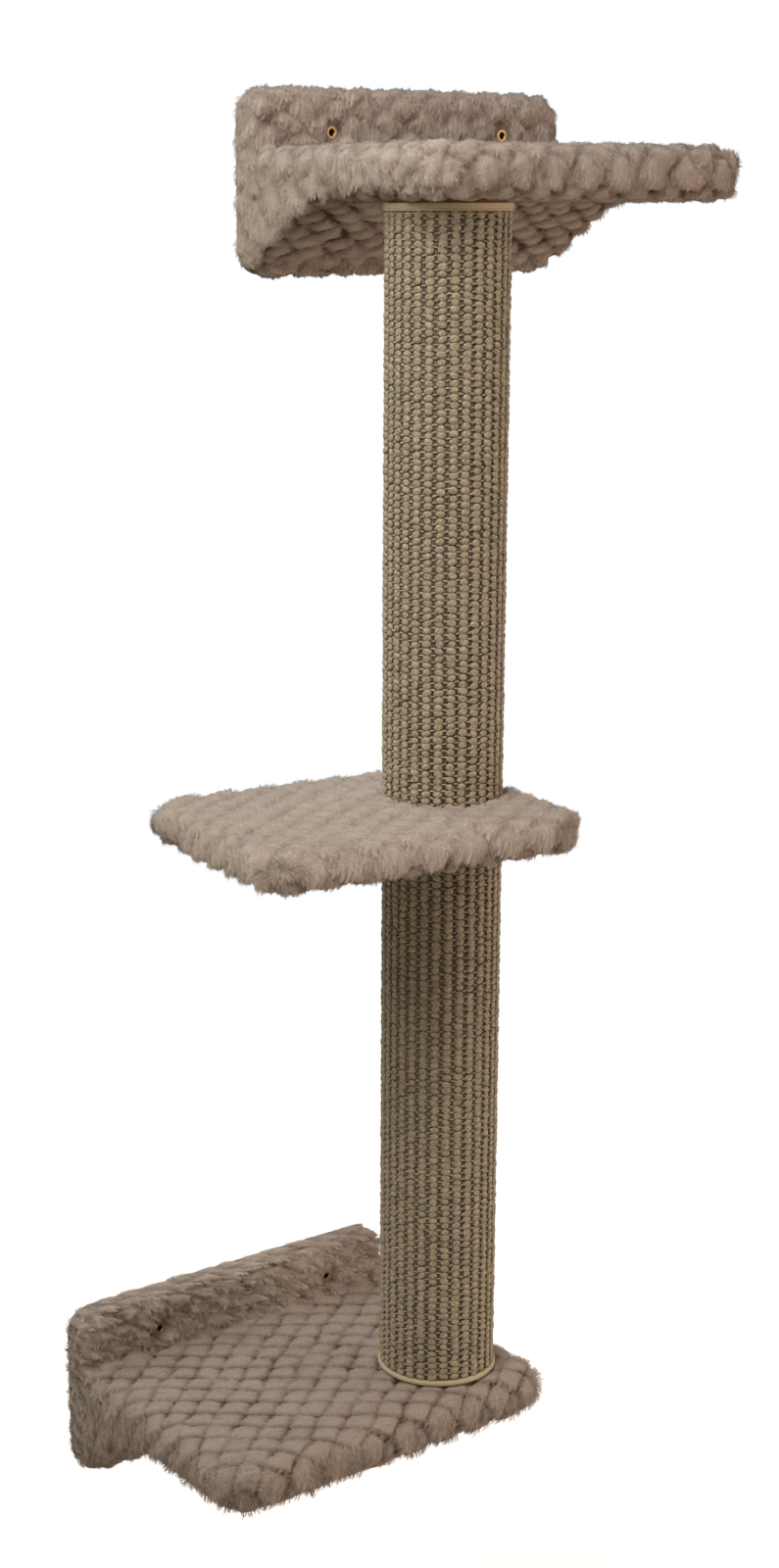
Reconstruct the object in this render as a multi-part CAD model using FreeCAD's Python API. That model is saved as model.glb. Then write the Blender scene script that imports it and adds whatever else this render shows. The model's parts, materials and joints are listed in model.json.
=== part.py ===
import FreeCAD, Part
import math
import os

# Cat climbing wall: two sisal posts in line between two plush shelves that screw to the wall,
# with a plush lying platform clamped between the posts.
# Millimetres. +X runs right along the wall, +Y goes into the wall and +Z is up.
# The origin is the middle of the lower unit's two wall holes, on its wall board's back face.

# Boards of the two wall units, which are mirror images of each other
board_thickness = 18.0
unit_width = 362.0
wall_board_height = 146.0
wall_board_rise = 59.0
wall_board_radius = 14.0
shelf_depth = 280.0
shelf_radius = 22.0

# Platform between the posts, turned a little about them
platform_width = 313.0
platform_depth = 241.0
platform_radius = 22.0
platform_side_margin = 60.0
platform_back_margin = 106.0
platform_turn = -7.0

# Posts
post_edge_margin = 66.0
lower_post_length = 598.0
upper_post_length = 588.0
tube_radius = 55.0
tube_wall = 4.0
sisal_thickness = 5.0
sisal_rib_count = 31
sisal_rib_depth = 1.2
glue_gap = 0.3
plug_thickness = 22.0
plug_gap = 0.2
end_ring_height = 5.0
end_ring_thickness = 6.0
end_ring_round = 2.0
end_band_height = 7.0
end_band_thickness = 5.5
end_band_groove = 0.8
end_band_groove_share = 0.25

# Plush covers, as the space that backing and pile take up
pile_on_face = 16.0
pile_on_edge = 14.0
cover_gap = 0.3
cover_round = 18.0
hem_width = 30.0
hem_thickness = 2.0
hem_round = 5.0
web_fillet = 150.0

# Gussets that carry the web under each shelf
gusset_reach = 78.0
gusset_drop = 56.0
gusset_tip = 7.0
gusset_inset = 12.0

# Wall holes and their eyelets
hole_from_left = 86.0
hole_spacing = 220.0
hole_from_top = 26.0
hole_radius = 3.25
eyelet_flange_radius = 6.5
eyelet_flange_thickness = 1.4
eyelet_barrel_radius = 4.2
eyelet_barrel_length = 8.0
eyelet_stand_off = 5.0
eyelet_gap = 0.2
dimple_foot_radius = 8.0
dimple_mouth_radius = 15.0

# Post fasteners
bolt_radius = 5.0
bolt_head_radius = 10.0
bolt_head_height = 4.0
bolt_socket_radius = 3.4
bolt_socket_depth = 2.6
bolt_end_length = 5.0
bolt_clearance = 0.5
thread_gap = 0.1
washer_radius = 13.0
washer_thickness = 1.6
counterbore_radius = 14.0
head_below_face = 0.4
insert_flange_radius = 12.0
insert_flange_thickness = 1.8
insert_barrel_radius = 6.2
insert_barrel_length = 14.0

# Wood screws
screw_radius = 2.2
screw_head_radius = 4.6
screw_head_height = 3.6
screw_length = 40.0
screw_recess_radius = 1.6
screw_recess_depth = 1.8
screw_gap = 0.2
shelf_screw_count = 3
shelf_screw_margin = 58.0
gusset_screw_down_share = 0.4
gusset_screw_out_share = 0.5

# One overrun serves every cut
overrun = 1.0

# Places worked out from the sizes above
lower_left = -hole_from_left - hole_spacing / 2
post_x = lower_left + unit_width - post_edge_margin
upper_left = post_x - post_edge_margin
post_y = post_edge_margin - board_thickness - shelf_depth
lower_shelf_top = hole_from_top - wall_board_rise
platform_bottom = lower_shelf_top + lower_post_length
platform_top = platform_bottom + board_thickness
upper_shelf_bottom = platform_top + upper_post_length
upper_shelf_top = upper_shelf_bottom + board_thickness
cover_front = board_thickness + pile_on_face
sleeve_inner_radius = tube_radius + glue_gap
sleeve_radius = tube_radius + sisal_thickness
counterbore_depth = head_below_face + bolt_head_height + washer_thickness

V = FreeCAD.Vector
ORIGIN = V(0, 0, 0)
X_AXIS = V(1, 0, 0)
Z_AXIS = V(0, 0, 1)
QUARTER_TURN = 90
HALF_TURN = 180
FULL_TURN = 360


def moved(shape, x, y, z):
    """A shifted copy of a shape."""
    copy = shape.copy()
    copy.translate(V(x, y, z))
    return copy


def upright(shape):
    """Stands a flat shape against the wall: its Y becomes Z, and its height runs out from the wall."""
    return shape.rotated(ORIGIN, X_AXIS, QUARTER_TURN)


def upside_down(shape):
    return shape.rotated(ORIGIN, X_AXIS, HALF_TURN)


def rod(radius, z_low, z_high):
    return Part.makeCylinder(radius, z_high - z_low, V(0, 0, z_low))


def rounded_plate(x_low, x_high, y_low, y_high, radii, z_low, z_high):
    """A plate whose four corner radii go round from the low corner; a radius of zero is square."""
    corners = (
        (x_low, y_low, 1, 1),
        (x_high, y_low, -1, 1),
        (x_high, y_high, -1, -1),
        (x_low, y_high, 1, -1),
    )
    edges, starts, ends = [], [], []
    for i, ((x, y, into_x, into_y), radius) in enumerate(zip(corners, radii)):
        on_side = V(x, y + into_y * radius, z_low)
        on_front = V(x + into_x * radius, y, z_low)
        starts.append(on_front if i % 2 else on_side)
        ends.append(on_side if i % 2 else on_front)
        if radius:
            near = radius * (1 - math.sqrt(0.5))
            middle = V(x + into_x * near, y + into_y * near, z_low)
            edges.append(Part.Arc(starts[i], middle, ends[i]).toShape())
    for i, start in enumerate(starts):
        edges.append(Part.LineSegment(ends[i - 1], start).toShape())
    outline = Part.Wire(Part.__sortEdges__(edges))
    return Part.Face(outline).extrude(V(0, 0, z_high - z_low))


def softened(shape, z, radius):
    """Rounds every edge that lies at one height."""
    level = [e for e in shape.Edges if abs(e.BoundBox.ZMin - z) + abs(e.BoundBox.ZMax - z) < glue_gap]
    return shape.makeFillet(radius, level)


def turned(points):
    """Revolves an outline of (radius, height) points about the Z axis."""
    corners = [V(radius, 0, z) for radius, z in points]
    outline = Part.makePolygon(corners + corners[:1])
    return Part.Face(outline).revolve(ORIGIN, Z_AXIS, FULL_TURN)


def prism(edges, x_low, x_high):
    """Extrudes closed edges in a YZ plane at X zero between two places along X."""
    outline = Part.Wire(Part.__sortEdges__(edges))
    return moved(Part.Face(outline).extrude(V(x_high - x_low, 0, 0)), x_low, 0, 0)


def lines(points, closed=True):
    """Straight edges through (y, z) points."""
    corners = [V(0, y, z) for y, z in points]
    after = corners[1:] + corners[:1] if closed else corners[1:]
    return [Part.LineSegment(a, b).toShape() for a, b in zip(corners, after)]


def wood_screw():
    """A countersunk screw that points down, with the top of its head at height zero."""
    tip = screw_length - 2 * screw_radius
    points = [
        (0, -screw_length),
        (screw_radius, -tip),
        (screw_radius, -screw_head_height),
        (screw_head_radius, 0),
        (screw_recess_radius, 0),
        (screw_recess_radius, -screw_recess_depth),
        (0, -screw_recess_depth),
    ]
    return turned(points)


def screw_room():
    """The hole and countersink that a wood screw takes up."""
    wide = screw_head_radius + screw_gap
    points = [
        (0, -screw_length - screw_gap),
        (screw_radius + screw_gap, -screw_length - screw_gap),
        (screw_radius + screw_gap, -screw_head_height),
        (wide, 0),
        (wide, overrun),
        (0, overrun),
    ]
    return turned(points)


def from_the_back(screw, x, z):
    """Turns a screw that points down so that it goes in through the wall board's back."""
    return moved(screw.rotated(ORIGIN, X_AXIS, -QUARTER_TURN), x, 0, z)


def post_bolt():
    """A flat-headed bolt that points up from a board's outer face at height zero."""
    seat = head_below_face + bolt_head_height
    end = board_thickness + plug_thickness + insert_flange_thickness + bolt_end_length
    points = [
        (bolt_socket_radius, head_below_face),
        (bolt_head_radius, head_below_face),
        (bolt_head_radius, seat),
        (bolt_radius, seat),
        (bolt_radius, end),
        (0, end),
        (0, head_below_face + bolt_socket_depth),
        (bolt_socket_radius, head_below_face + bolt_socket_depth),
    ]
    return turned(points)


def bolt_washer():
    """The washer under the bolt's head, from the same face at height zero."""
    hole = rod(bolt_radius + bolt_clearance, 0, counterbore_depth + overrun)
    return rod(washer_radius, counterbore_depth - washer_thickness, counterbore_depth).cut(hole)


def bolt_room():
    """The counterbore and hole that a post bolt takes up in a board."""
    hole = rod(bolt_radius + bolt_clearance, -overrun, board_thickness + overrun)
    return rod(counterbore_radius, -overrun, counterbore_depth).fuse(hole)


def plug():
    """A round end plug with its outer face at height zero, bored for the bolt and for the insert."""
    body = rod(tube_radius - tube_wall - plug_gap, 0, plug_thickness)
    barrel_top = plug_thickness - insert_barrel_length
    body = body.cut(rod(bolt_radius + bolt_clearance, -overrun, plug_thickness + overrun))
    return body.cut(rod(insert_barrel_radius + thread_gap, barrel_top, plug_thickness + overrun))


def insert():
    """A flanged threaded insert, seated in a plug whose outer face is at height zero."""
    barrel = rod(insert_barrel_radius, plug_thickness - insert_barrel_length, plug_thickness)
    flange = rod(insert_flange_radius, plug_thickness, plug_thickness + insert_flange_thickness)
    hole = rod(bolt_radius + thread_gap, 0, plug_thickness + insert_flange_thickness + overrun)
    return barrel.fuse(flange).removeSplitter().cut(hole)


def eyelet():
    """A rolled eyelet with its flange's underside at height zero and its barrel below."""
    lip = eyelet_flange_thickness / 2
    points = [
        (hole_radius, -eyelet_barrel_length),
        (eyelet_barrel_radius, -eyelet_barrel_length),
        (eyelet_barrel_radius, 0),
        (eyelet_flange_radius, 0),
        (eyelet_flange_radius, lip),
        (eyelet_flange_radius - lip, eyelet_flange_thickness),
        (hole_radius + lip, eyelet_flange_thickness),
        (hole_radius, lip),
    ]
    return turned(points)


def eyelet_room():
    """What an eyelet takes out of the plush and the board: its barrel's hole and the dimple in the pile."""
    deep = eyelet_barrel_length + eyelet_gap
    dimple = Part.makeCone(dimple_foot_radius, dimple_mouth_radius, pile_on_face - eyelet_stand_off)
    return rod(eyelet_barrel_radius + eyelet_gap, -deep, 0).fuse(dimple)


def gusset_edges(shelf_bottom, gap=0):
    """The blunt-tipped triangle in the corner under a shelf, or the room for it with a gap."""
    back = -board_thickness
    low = shelf_bottom - gusset_drop - gap
    far = back - gusset_reach - gap
    points = [
        (back, shelf_bottom),
        (far, shelf_bottom),
        (far, shelf_bottom - gusset_tip),
        (back - gusset_tip, low),
        (back, low),
    ]
    return lines(points)


def web_edges(shelf_bottom):
    """The web's outline: a pile's depth outside the gussets, and swept into the shelf's underside."""
    run, fall = gusset_reach - gusset_tip, gusset_drop - gusset_tip
    slope = math.hypot(run, fall)
    under = shelf_bottom - pile_on_face
    # A place on the slope, a pile's depth off the gusset's long edge
    slope_y = -board_thickness - gusset_reach - pile_on_face * fall / slope
    slope_z = shelf_bottom - gusset_tip - pile_on_face * run / slope
    corner_y = slope_y + (slope_z - under) * run / fall
    foot_z = slope_z - (-cover_front - slope_y) * fall / run
    # The sweep is tangent to both, so it starts the same length from their corner on each
    length = web_fillet * math.tan(math.atan2(fall, run) / 2)
    start = V(0, corner_y - length, under)
    end = V(0, corner_y + length * run / slope, under - length * fall / slope)
    centre = start - V(0, 0, web_fillet)
    to_corner = V(0, corner_y, under) - centre
    middle = centre + to_corner * (web_fillet / to_corner.Length)
    points = [
        (end.y, end.z),
        (-cover_front, foot_z),
        (-board_thickness, foot_z),
        (-board_thickness, shelf_bottom),
        (start.y, shelf_bottom),
        (start.y, start.z),
    ]
    return lines(points, closed=False) + [Part.Arc(start, middle, end).toShape()]


def wall_plate(left, wall_top, grow, near, far):
    """The wall board's outline, grown on its edges, between two distances from its back face."""
    radius = max(wall_board_radius + grow, 0)
    low, high = wall_top - wall_board_height - grow, wall_top + grow
    return rounded_plate(left - grow, left + unit_width + grow, low, high, [radius] * 4, near, far)


def shelf_plate(left, shelf_top, grow, thicken, back):
    """The shelf board's outline, grown on its edges and faces, that ends at a given Y."""
    radius = shelf_radius + grow
    front = -board_thickness - shelf_depth - grow
    low, high = shelf_top - board_thickness - thicken, shelf_top + thicken
    radii = (radius, radius, 0, 0)
    return rounded_plate(left - grow, left + unit_width + grow, front, back, radii, low, high)


def at_post(shape, z, flipped=False):
    """Places a shape on the posts' axis, upside down if it belongs under a face."""
    return moved(upside_down(shape) if flipped else shape, post_x, post_y, z)


def build_unit(left, shelf_top, post_above):
    """A wall unit's pieces. Its post stands on the shelf if post_above, and else hangs under it."""
    shelf_bottom = shelf_top - board_thickness
    wall_top = shelf_top + wall_board_rise
    right = left + unit_width
    outer_face = shelf_bottom if post_above else shelf_top
    post_face = shelf_top if post_above else shelf_bottom
    gusset_lefts = (left + gusset_inset, right - gusset_inset - board_thickness)
    hole_z = wall_top - hole_from_top
    hole_xs = [left + hole_from_left + i * hole_spacing for i in range(2)]

    # Screws of the shelf and the gussets, each with its room in the boards
    screw_step = (unit_width - 2 * shelf_screw_margin) / (shelf_screw_count - 1)
    shelf_screw_xs = [left + shelf_screw_margin + i * screw_step for i in range(shelf_screw_count)]
    gusset_screw_xs = [x + board_thickness / 2 for x in gusset_lefts]
    low_screw_z = shelf_bottom - gusset_drop * gusset_screw_down_share
    top_screw_y = -board_thickness - gusset_reach * gusset_screw_out_share

    def shelf_set(make):
        return [from_the_back(make(), x, shelf_top - board_thickness / 2) for x in shelf_screw_xs]

    def gusset_set(make):
        backs = [from_the_back(make(), x, low_screw_z) for x in gusset_screw_xs]
        return backs + [moved(make(), x, top_screw_y, shelf_top) for x in gusset_screw_xs]

    screw_rooms = Part.makeCompound(shelf_set(screw_room) + gusset_set(screw_room))

    # Boards and gussets
    wall_bare = upright(wall_plate(left, wall_top, 0, 0, board_thickness))
    shelf_bare = shelf_plate(left, shelf_top, 0, 0, -board_thickness)
    wall_holes = [moved(upright(rod(hole_radius, -overrun, cover_front)), x, 0, hole_z) for x in hole_xs]
    seat = -board_thickness - eyelet_stand_off
    eyelet_rooms = [moved(upright(eyelet_room()), x, seat, hole_z) for x in hole_xs]
    cut_outs = Part.makeCompound(wall_holes + eyelet_rooms)
    gusset_left, gusset_right = [
        prism(gusset_edges(shelf_bottom), x, x + board_thickness).cut(screw_rooms) for x in gusset_lefts
    ]

    # Outer shapes of the plush, and the room that the boards and the hollow web take inside it
    wall_outer = wall_plate(left, wall_top, pile_on_edge, -hem_thickness, cover_front)
    wall_outer = softened(wall_outer, cover_front, pile_on_edge)
    wall_outer = upright(softened(wall_outer, -hem_thickness, hem_round))
    shelf_outer = shelf_plate(left, shelf_top, pile_on_edge, pile_on_face, -hem_round)
    shelf_outer = softened(shelf_outer, shelf_top + pile_on_face, cover_round)
    shelf_outer = softened(shelf_outer, shelf_bottom - pile_on_face, cover_round)
    web_outer = prism(web_edges(shelf_bottom), left - pile_on_edge, right + pile_on_edge)
    board_room = upright(wall_plate(left, wall_top, cover_gap, 0, board_thickness + cover_gap))
    hem_window = upright(wall_plate(left, wall_top, -hem_width, -hem_thickness - overrun, board_thickness))
    shelf_room = shelf_plate(left, shelf_top, cover_gap, cover_gap, 0)
    web_hollow = prism(gusset_edges(shelf_bottom, cover_gap), left, right)
    post_room = rod(sleeve_inner_radius, -overrun, pile_on_face + overrun)

    wall_cover = wall_outer.cut([board_room, hem_window, shelf_room, web_hollow, cut_outs])
    post_room = at_post(post_room, post_face, flipped=not post_above)
    shelf_cover = shelf_outer.cut([wall_outer, shelf_room, web_hollow, post_room])
    web_cover = web_outer.cut([wall_outer, shelf_outer, web_hollow])

    return {
        "wall_board": wall_bare.cut([screw_rooms, cut_outs]),
        "shelf_board": shelf_bare.cut([screw_rooms, at_post(bolt_room(), outer_face, not post_above)]),
        "gusset_left": gusset_left,
        "gusset_right": gusset_right,
        "wall_cover": wall_cover,
        "shelf_cover": shelf_cover,
        "web_cover": web_cover,
        "wall_eyelets": Part.makeCompound([moved(upright(eyelet()), x, seat, hole_z) for x in hole_xs]),
        "shelf_screws": Part.makeCompound(shelf_set(wood_screw)),
        "gusset_screws": Part.makeCompound(gusset_set(wood_screw)),
        "post_bolt": at_post(post_bolt(), outer_face, not post_above),
        "bolt_washer": at_post(bolt_washer(), outer_face, not post_above),
    }


def sisal_sleeve(z_low, z_high):
    """Woven sisal round a tube, with the ribs that its warp makes up the post."""
    step = 2 * math.pi / sisal_rib_count
    groove = sleeve_radius - sisal_rib_depth

    def around(radius, angle):
        return V(radius * math.cos(angle), radius * math.sin(angle), z_low)

    ribs = []
    for i in range(sisal_rib_count):
        start, end = around(groove, i * step), around(groove, (i + 1) * step)
        ribs.append(Part.Arc(start, around(sleeve_radius, (i + 0.5) * step), end).toShape())
    body = Part.Face(Part.Wire(ribs)).extrude(V(0, 0, z_high - z_low))
    return body.cut(rod(sleeve_inner_radius, z_low - overrun, z_high + overrun))


def build_post(z_low, z_high, sleeve_low, sleeve_high):
    """A post's pieces: a card tube, its sisal, and a plug with a threaded insert in each end."""
    bore = rod(tube_radius - tube_wall, z_low - overrun, z_high + overrun)
    tube = rod(tube_radius, z_low, z_high).cut(bore)
    return {
        "tube": at_post(tube, 0),
        "sisal_sleeve": at_post(sisal_sleeve(sleeve_low, sleeve_high), 0),
        "bottom_plug": at_post(plug(), z_low),
        "top_plug": at_post(plug(), z_high, flipped=True),
        "bottom_insert": at_post(insert(), z_low),
        "top_insert": at_post(insert(), z_high, flipped=True),
    }


def end_ring(z_low):
    """The rounded ring round the foot of the lower post."""
    radius = sleeve_inner_radius + end_ring_thickness
    ring = rod(radius, z_low, z_low + end_ring_height)
    ring = softened(softened(ring, z_low, end_ring_round), z_low + end_ring_height, end_ring_round)
    hole = rod(sleeve_inner_radius, z_low - overrun, z_low + end_ring_height + overrun)
    return at_post(ring.cut(hole), 0)


def end_band(z_low):
    """The folded band round the head of the upper post, with the crease between its layers."""
    inner, outer = sleeve_inner_radius, sleeve_inner_radius + end_band_thickness
    crease = end_band_height * end_band_groove_share
    points = [
        (inner, 0),
        (outer, 0),
        (outer, crease - end_band_groove / 2),
        (outer - end_band_groove, crease),
        (outer, crease + end_band_groove / 2),
        (outer, end_band_height),
        (inner, end_band_height),
    ]
    return at_post(turned(points), z_low)


def platform_plate(grow, thicken):
    """The platform board's outline about the posts' axis, grown on its edges and faces."""
    return rounded_plate(
        platform_side_margin - platform_width - grow,
        platform_side_margin + grow,
        platform_back_margin - platform_depth - grow,
        platform_back_margin + grow,
        [platform_radius + grow] * 4,
        platform_bottom - thicken,
        platform_top + thicken,
    )


def build_platform():
    """The lying platform's board and cover, and the stud that joins the posts through it."""
    stud_reach = plug_thickness + insert_flange_thickness + bolt_end_length
    stud = rod(bolt_radius, platform_bottom - stud_reach, platform_top + stud_reach)
    stud_room = rod(bolt_radius + bolt_clearance, platform_bottom - overrun, platform_top + overrun)
    board = platform_plate(0, 0).cut(stud_room)
    cover = softened(platform_plate(pile_on_edge, pile_on_face), platform_top + pile_on_face, cover_round)
    cover = softened(cover, platform_bottom - pile_on_face, cover_round)
    post_room = rod(sleeve_radius + glue_gap, platform_bottom - cover_front, platform_top + cover_front)
    cover = cover.cut([platform_plate(cover_gap, cover_gap), post_room])
    pieces = {"platform_board": board, "platform_cover": cover, "platform_stud": stud}
    spun = {name: shape.rotated(ORIGIN, Z_AXIS, platform_turn) for name, shape in pieces.items()}
    return {name: at_post(shape, 0) for name, shape in spun.items()}


def build():
    """Every piece of the climbing wall, by the name of its file."""
    ring_z = lower_shelf_top + pile_on_face
    ring_top = ring_z + end_ring_height
    band_z = upper_shelf_bottom - pile_on_face - end_band_height
    groups = {
        "lower_": build_unit(lower_left, lower_shelf_top, post_above=True),
        "upper_": build_unit(upper_left, upper_shelf_top, post_above=False),
        "lower_post_": build_post(lower_shelf_top, platform_bottom, ring_top, platform_bottom),
        "upper_post_": build_post(platform_top, upper_shelf_bottom, platform_top, band_z),
        "": build_platform(),
    }
    pieces = {}
    for prefix, group in groups.items():
        pieces.update({prefix + name: shape for name, shape in group.items()})
    pieces["lower_end_ring"] = end_ring(ring_z)
    pieces["upper_end_band"] = end_band(band_z)
    return pieces


os.makedirs("parts", exist_ok=True)
for name, shape in build().items():
    if not shape.isValid():
        raise ValueError(name + " isn't a valid shape")
    shape.exportStep(os.path.join("parts", name + ".step"))
    print(name, len(shape.Solids), "solids,", round(shape.Volume / 1000, 2), "cm3")
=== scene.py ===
# %% [markdown]
# # A cat climbing wall with plush shelves and sisal posts
# Two plush wall shelves carry two posts of woven sisal, and a plush lying platform sits
# between the posts. The boards, tubes, rings and fasteners are already modelled to size.
# This lesson gives them their finish, and sculpts the plush and the sisal around them.

import itertools
import json
import math

import bmesh
import bpy
import numpy as np
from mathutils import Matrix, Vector


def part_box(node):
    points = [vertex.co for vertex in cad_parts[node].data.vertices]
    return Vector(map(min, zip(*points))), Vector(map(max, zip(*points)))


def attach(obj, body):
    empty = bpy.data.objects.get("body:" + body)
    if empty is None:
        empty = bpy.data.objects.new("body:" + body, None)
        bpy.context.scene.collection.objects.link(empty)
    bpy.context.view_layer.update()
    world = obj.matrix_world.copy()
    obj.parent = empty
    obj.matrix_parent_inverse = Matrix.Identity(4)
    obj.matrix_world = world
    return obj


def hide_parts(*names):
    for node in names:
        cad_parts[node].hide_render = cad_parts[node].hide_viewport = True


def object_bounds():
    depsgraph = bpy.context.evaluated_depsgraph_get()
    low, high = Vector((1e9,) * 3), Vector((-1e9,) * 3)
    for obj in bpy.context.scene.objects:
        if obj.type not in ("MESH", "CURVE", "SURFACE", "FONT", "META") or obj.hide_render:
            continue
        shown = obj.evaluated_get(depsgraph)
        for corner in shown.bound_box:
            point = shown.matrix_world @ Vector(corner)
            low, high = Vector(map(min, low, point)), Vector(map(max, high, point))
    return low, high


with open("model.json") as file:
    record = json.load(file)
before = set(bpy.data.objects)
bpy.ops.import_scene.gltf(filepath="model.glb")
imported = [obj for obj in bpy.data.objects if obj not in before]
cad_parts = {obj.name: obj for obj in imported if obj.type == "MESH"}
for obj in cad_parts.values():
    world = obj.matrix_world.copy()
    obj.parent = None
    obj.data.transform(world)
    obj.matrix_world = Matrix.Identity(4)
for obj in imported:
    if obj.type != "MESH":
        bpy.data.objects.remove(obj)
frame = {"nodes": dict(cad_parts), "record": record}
nodes = frame["nodes"]
cad_low, cad_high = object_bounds()
print("pieces in the structure:", len(nodes))

# %% [markdown]
# Every place below is read from the structure, so the plush and the weave stay on the
# pieces that carry them. The few sizes that belong to the fabric itself, such as the
# spacing of its tufts, are written here once, in millimetres times `MM`. A slack moves the
# low and the high corner of a skin away from those of its plain cover, as the plush is
# fuller in some places than in others. Rims are the rounding at a block's two ends.

# %% Sizes of the fabric and the weave
MM = 0.001

skin_step = 2.2 * MM
skin_inset = 3.4 * MM
skin_smoothing = 6
wall_corner, wall_rims = 26 * MM, (13 * MM, 4 * MM)
shelf_corner, shelf_rims = 34 * MM, (19 * MM, 21 * MM)
platform_rims, web_rims = (16 * MM, 17 * MM), (9 * MM, 9 * MM)
wall_slack = {
    "lower": np.array([[0.5, -7.0], [6.0, 0.0]]) * MM,
    "upper": np.array([[0.5, -3.0], [4.0, 0.0]]) * MM,
}
platform_slack = np.array([[-5.0, 0.0, 5.0], [5.0, 0.0, 0.0]]) * MM
shelf_slack = {
    "lower": np.array([[0.5, 1.5, 0.0], [7.0, 0.0, -2.5]]) * MM,
    "upper": np.array([[0.5, 1.5, 2.5], [7.0, 0.0, 1.5]]) * MM,
}
hem_width = 44 * MM
eyelet_hole = 4.6 * MM

tuft_width, tuft_row = 41.5 * MM, 16.3 * MM
tuft_start = 8.4 * MM
strand_length, strand_row = 60 * MM, 10 * MM
strand_slant = math.radians(20)
tuft_height = {"lower": 5.0 * MM, "upper": 5.2 * MM, "platform": 4.2 * MM}
# how strong the painted shade is in the lines between tufts
groove_painted_shade = {"lower": 1.0, "upper": 0.75, "platform": 0.55}
wrap_share = 0.42

rib_count = 31
knot_pitch = 6.6 * MM

dice = np.random.default_rng(7)


def corners(node):
    """A node's low and high corners as arrays."""
    low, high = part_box(node)
    return np.array(low), np.array(high)


post_low, post_high = corners("lower_post_sisal_sleeve")
post_axis = (post_low + post_high)[:2] / 2
post_radius = (post_high - post_low)[0] / 2
print("post axis and radius:", post_axis.round(4), round(post_radius, 4))

# %% [markdown]
# Plush is never regular. Smooth random values, called value noise, give it drift at any
# scale. Blender's texture nodes have such noise for colour, and this small version of it
# moves geometry: each whole-number cell has a steady random value, blended in between.

# %% Noise for shapes


def steady(cells, seed):
    """A steady random value from 0 to 1 for each row of whole numbers."""
    mixed = cells[:, 0] * 374761393 + cells[:, 1] * 668265263 + cells[:, 2] * 2147483647
    mixed = (mixed + seed * 1442695041) & 0xFFFFFFFF
    for _ in range(2):
        mixed = ((mixed ^ (mixed >> 15)) * 2246822519) & 0xFFFFFFFF
    return (mixed ^ (mixed >> 13)) / 0xFFFFFFFF


def noise(points, size, seed=0):
    """Smooth noise from -1 to 1 whose bumps are about one size across."""
    scaled = points / size
    cell = np.floor(scaled).astype(np.int64)
    part = scaled - cell
    part = part * part * (3 - 2 * part)
    total = np.zeros(len(points))
    for corner in itertools.product((0, 1), repeat=3):
        near = np.where(corner, part, 1 - part).prod(axis=1)
        total += near * steady(cell + np.array(corner), seed)
    return 2 * total - 1


def ramp(values, start, end):
    """A smooth step from 0 at start to 1 at end."""
    part = np.clip((values - start) / (end - start), 0, 1)
    return part * part * (3 - 2 * part)


def noise_ways(points, size, seed):
    """Noise along each of the three axes."""
    return np.stack([noise(points, size, seed + axis) for axis in range(3)], axis=1)


def unit(ways):
    """The same ways, each made one long."""
    return ways / np.maximum(np.linalg.norm(ways, axis=-1, keepdims=True), 1e-9)


def along_skin(ways, normals):
    """Ways without the share of them that points out of the skin."""
    return ways - normals * (ways * normals).sum(axis=1, keepdims=True)


# %% [markdown]
# The pile is gathered into diamond tufts, in rows that are offset by half a tuft. Each
# point belongs to its nearest tuft, which makes a Voronoi pattern. The distance to the
# borders with the other tufts, taken with a soft minimum, gives each tuft a pillow shape
# with rounded corners, and a pit where four tufts meet, which later gets painted shade.

# %% Tufts of the plush


def tufts(u, v, width, row_step, seed):
    """For places on flat fabric: how far inside a tuft, from 0 at its edge, and its centre."""
    scaled = np.stack([u / (width / 2), v / row_step], axis=1)
    row = np.floor(scaled[:, 1]).astype(np.int64)
    centres, distances = [], []
    for step in (-1, 0, 1, 2):
        j = row + step
        shift = (j % 2).astype(float)
        i = np.round((scaled[:, 0] - shift) / 2).astype(np.int64)
        for beside in (-1, 0, 1):
            key = np.stack([i + beside, j, np.zeros_like(j)], axis=1)
            across = 2 * (i + beside) + shift + 0.3 * (steady(key, seed) - 0.5)
            along = j + 0.3 * (steady(key, seed + 1) - 0.5)
            centre = np.stack([across, along], axis=1)
            centres.append(centre)
            distances.append(((scaled - centre) ** 2).sum(axis=1))
    centres, distances = np.array(centres), np.array(distances)
    own = distances.argmin(axis=0)
    everyone = np.arange(len(u))
    home, nearest = centres[own, everyone], distances[own, everyone]
    softly = np.zeros(len(u))
    sharpness = 16.0
    for k, centre in enumerate(centres):
        apart = np.linalg.norm(centre - home, axis=1)
        border = (distances[k] - nearest) / np.maximum(2 * apart, 1e-6)
        softly += np.where(own == k, 0, np.exp(-sharpness * border))
    inside = -np.log(softly) / sharpness
    offset = (scaled - home) * np.array([width / 2, row_step])
    return inside, offset


# %% [markdown]
# The cover of each shelf is one sheet of plush stretched over boards. It could be drawn
# patch by patch, but the soft hollows where the pieces run together are easier to get by
# building plain rounded blocks, merging them with a voxel Remesh modifier, and smoothing
# the result. The remesh also gives the even small faces that sculpting needs.

# %% Rounded blocks and their union


def rounded_outline(low, high, radii):
    """Corners of a rectangle as short arcs, with one radius for each corner in turn."""
    signs = ((-1, -1), (1, -1), (1, 1), (-1, 1))
    points = []
    for number, ((sx, sy), radius) in enumerate(zip(signs, radii)):
        corner = np.where((sx < 0, sy < 0), low, high)
        centre = corner - np.array([sx, sy]) * radius
        for turn in np.linspace(0, math.pi / 2, 8 if radius else 1):
            angle = math.pi * (1 + number / 2) + turn
            points.append(centre + radius * np.array([math.cos(angle), math.sin(angle)]))
    return points


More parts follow.
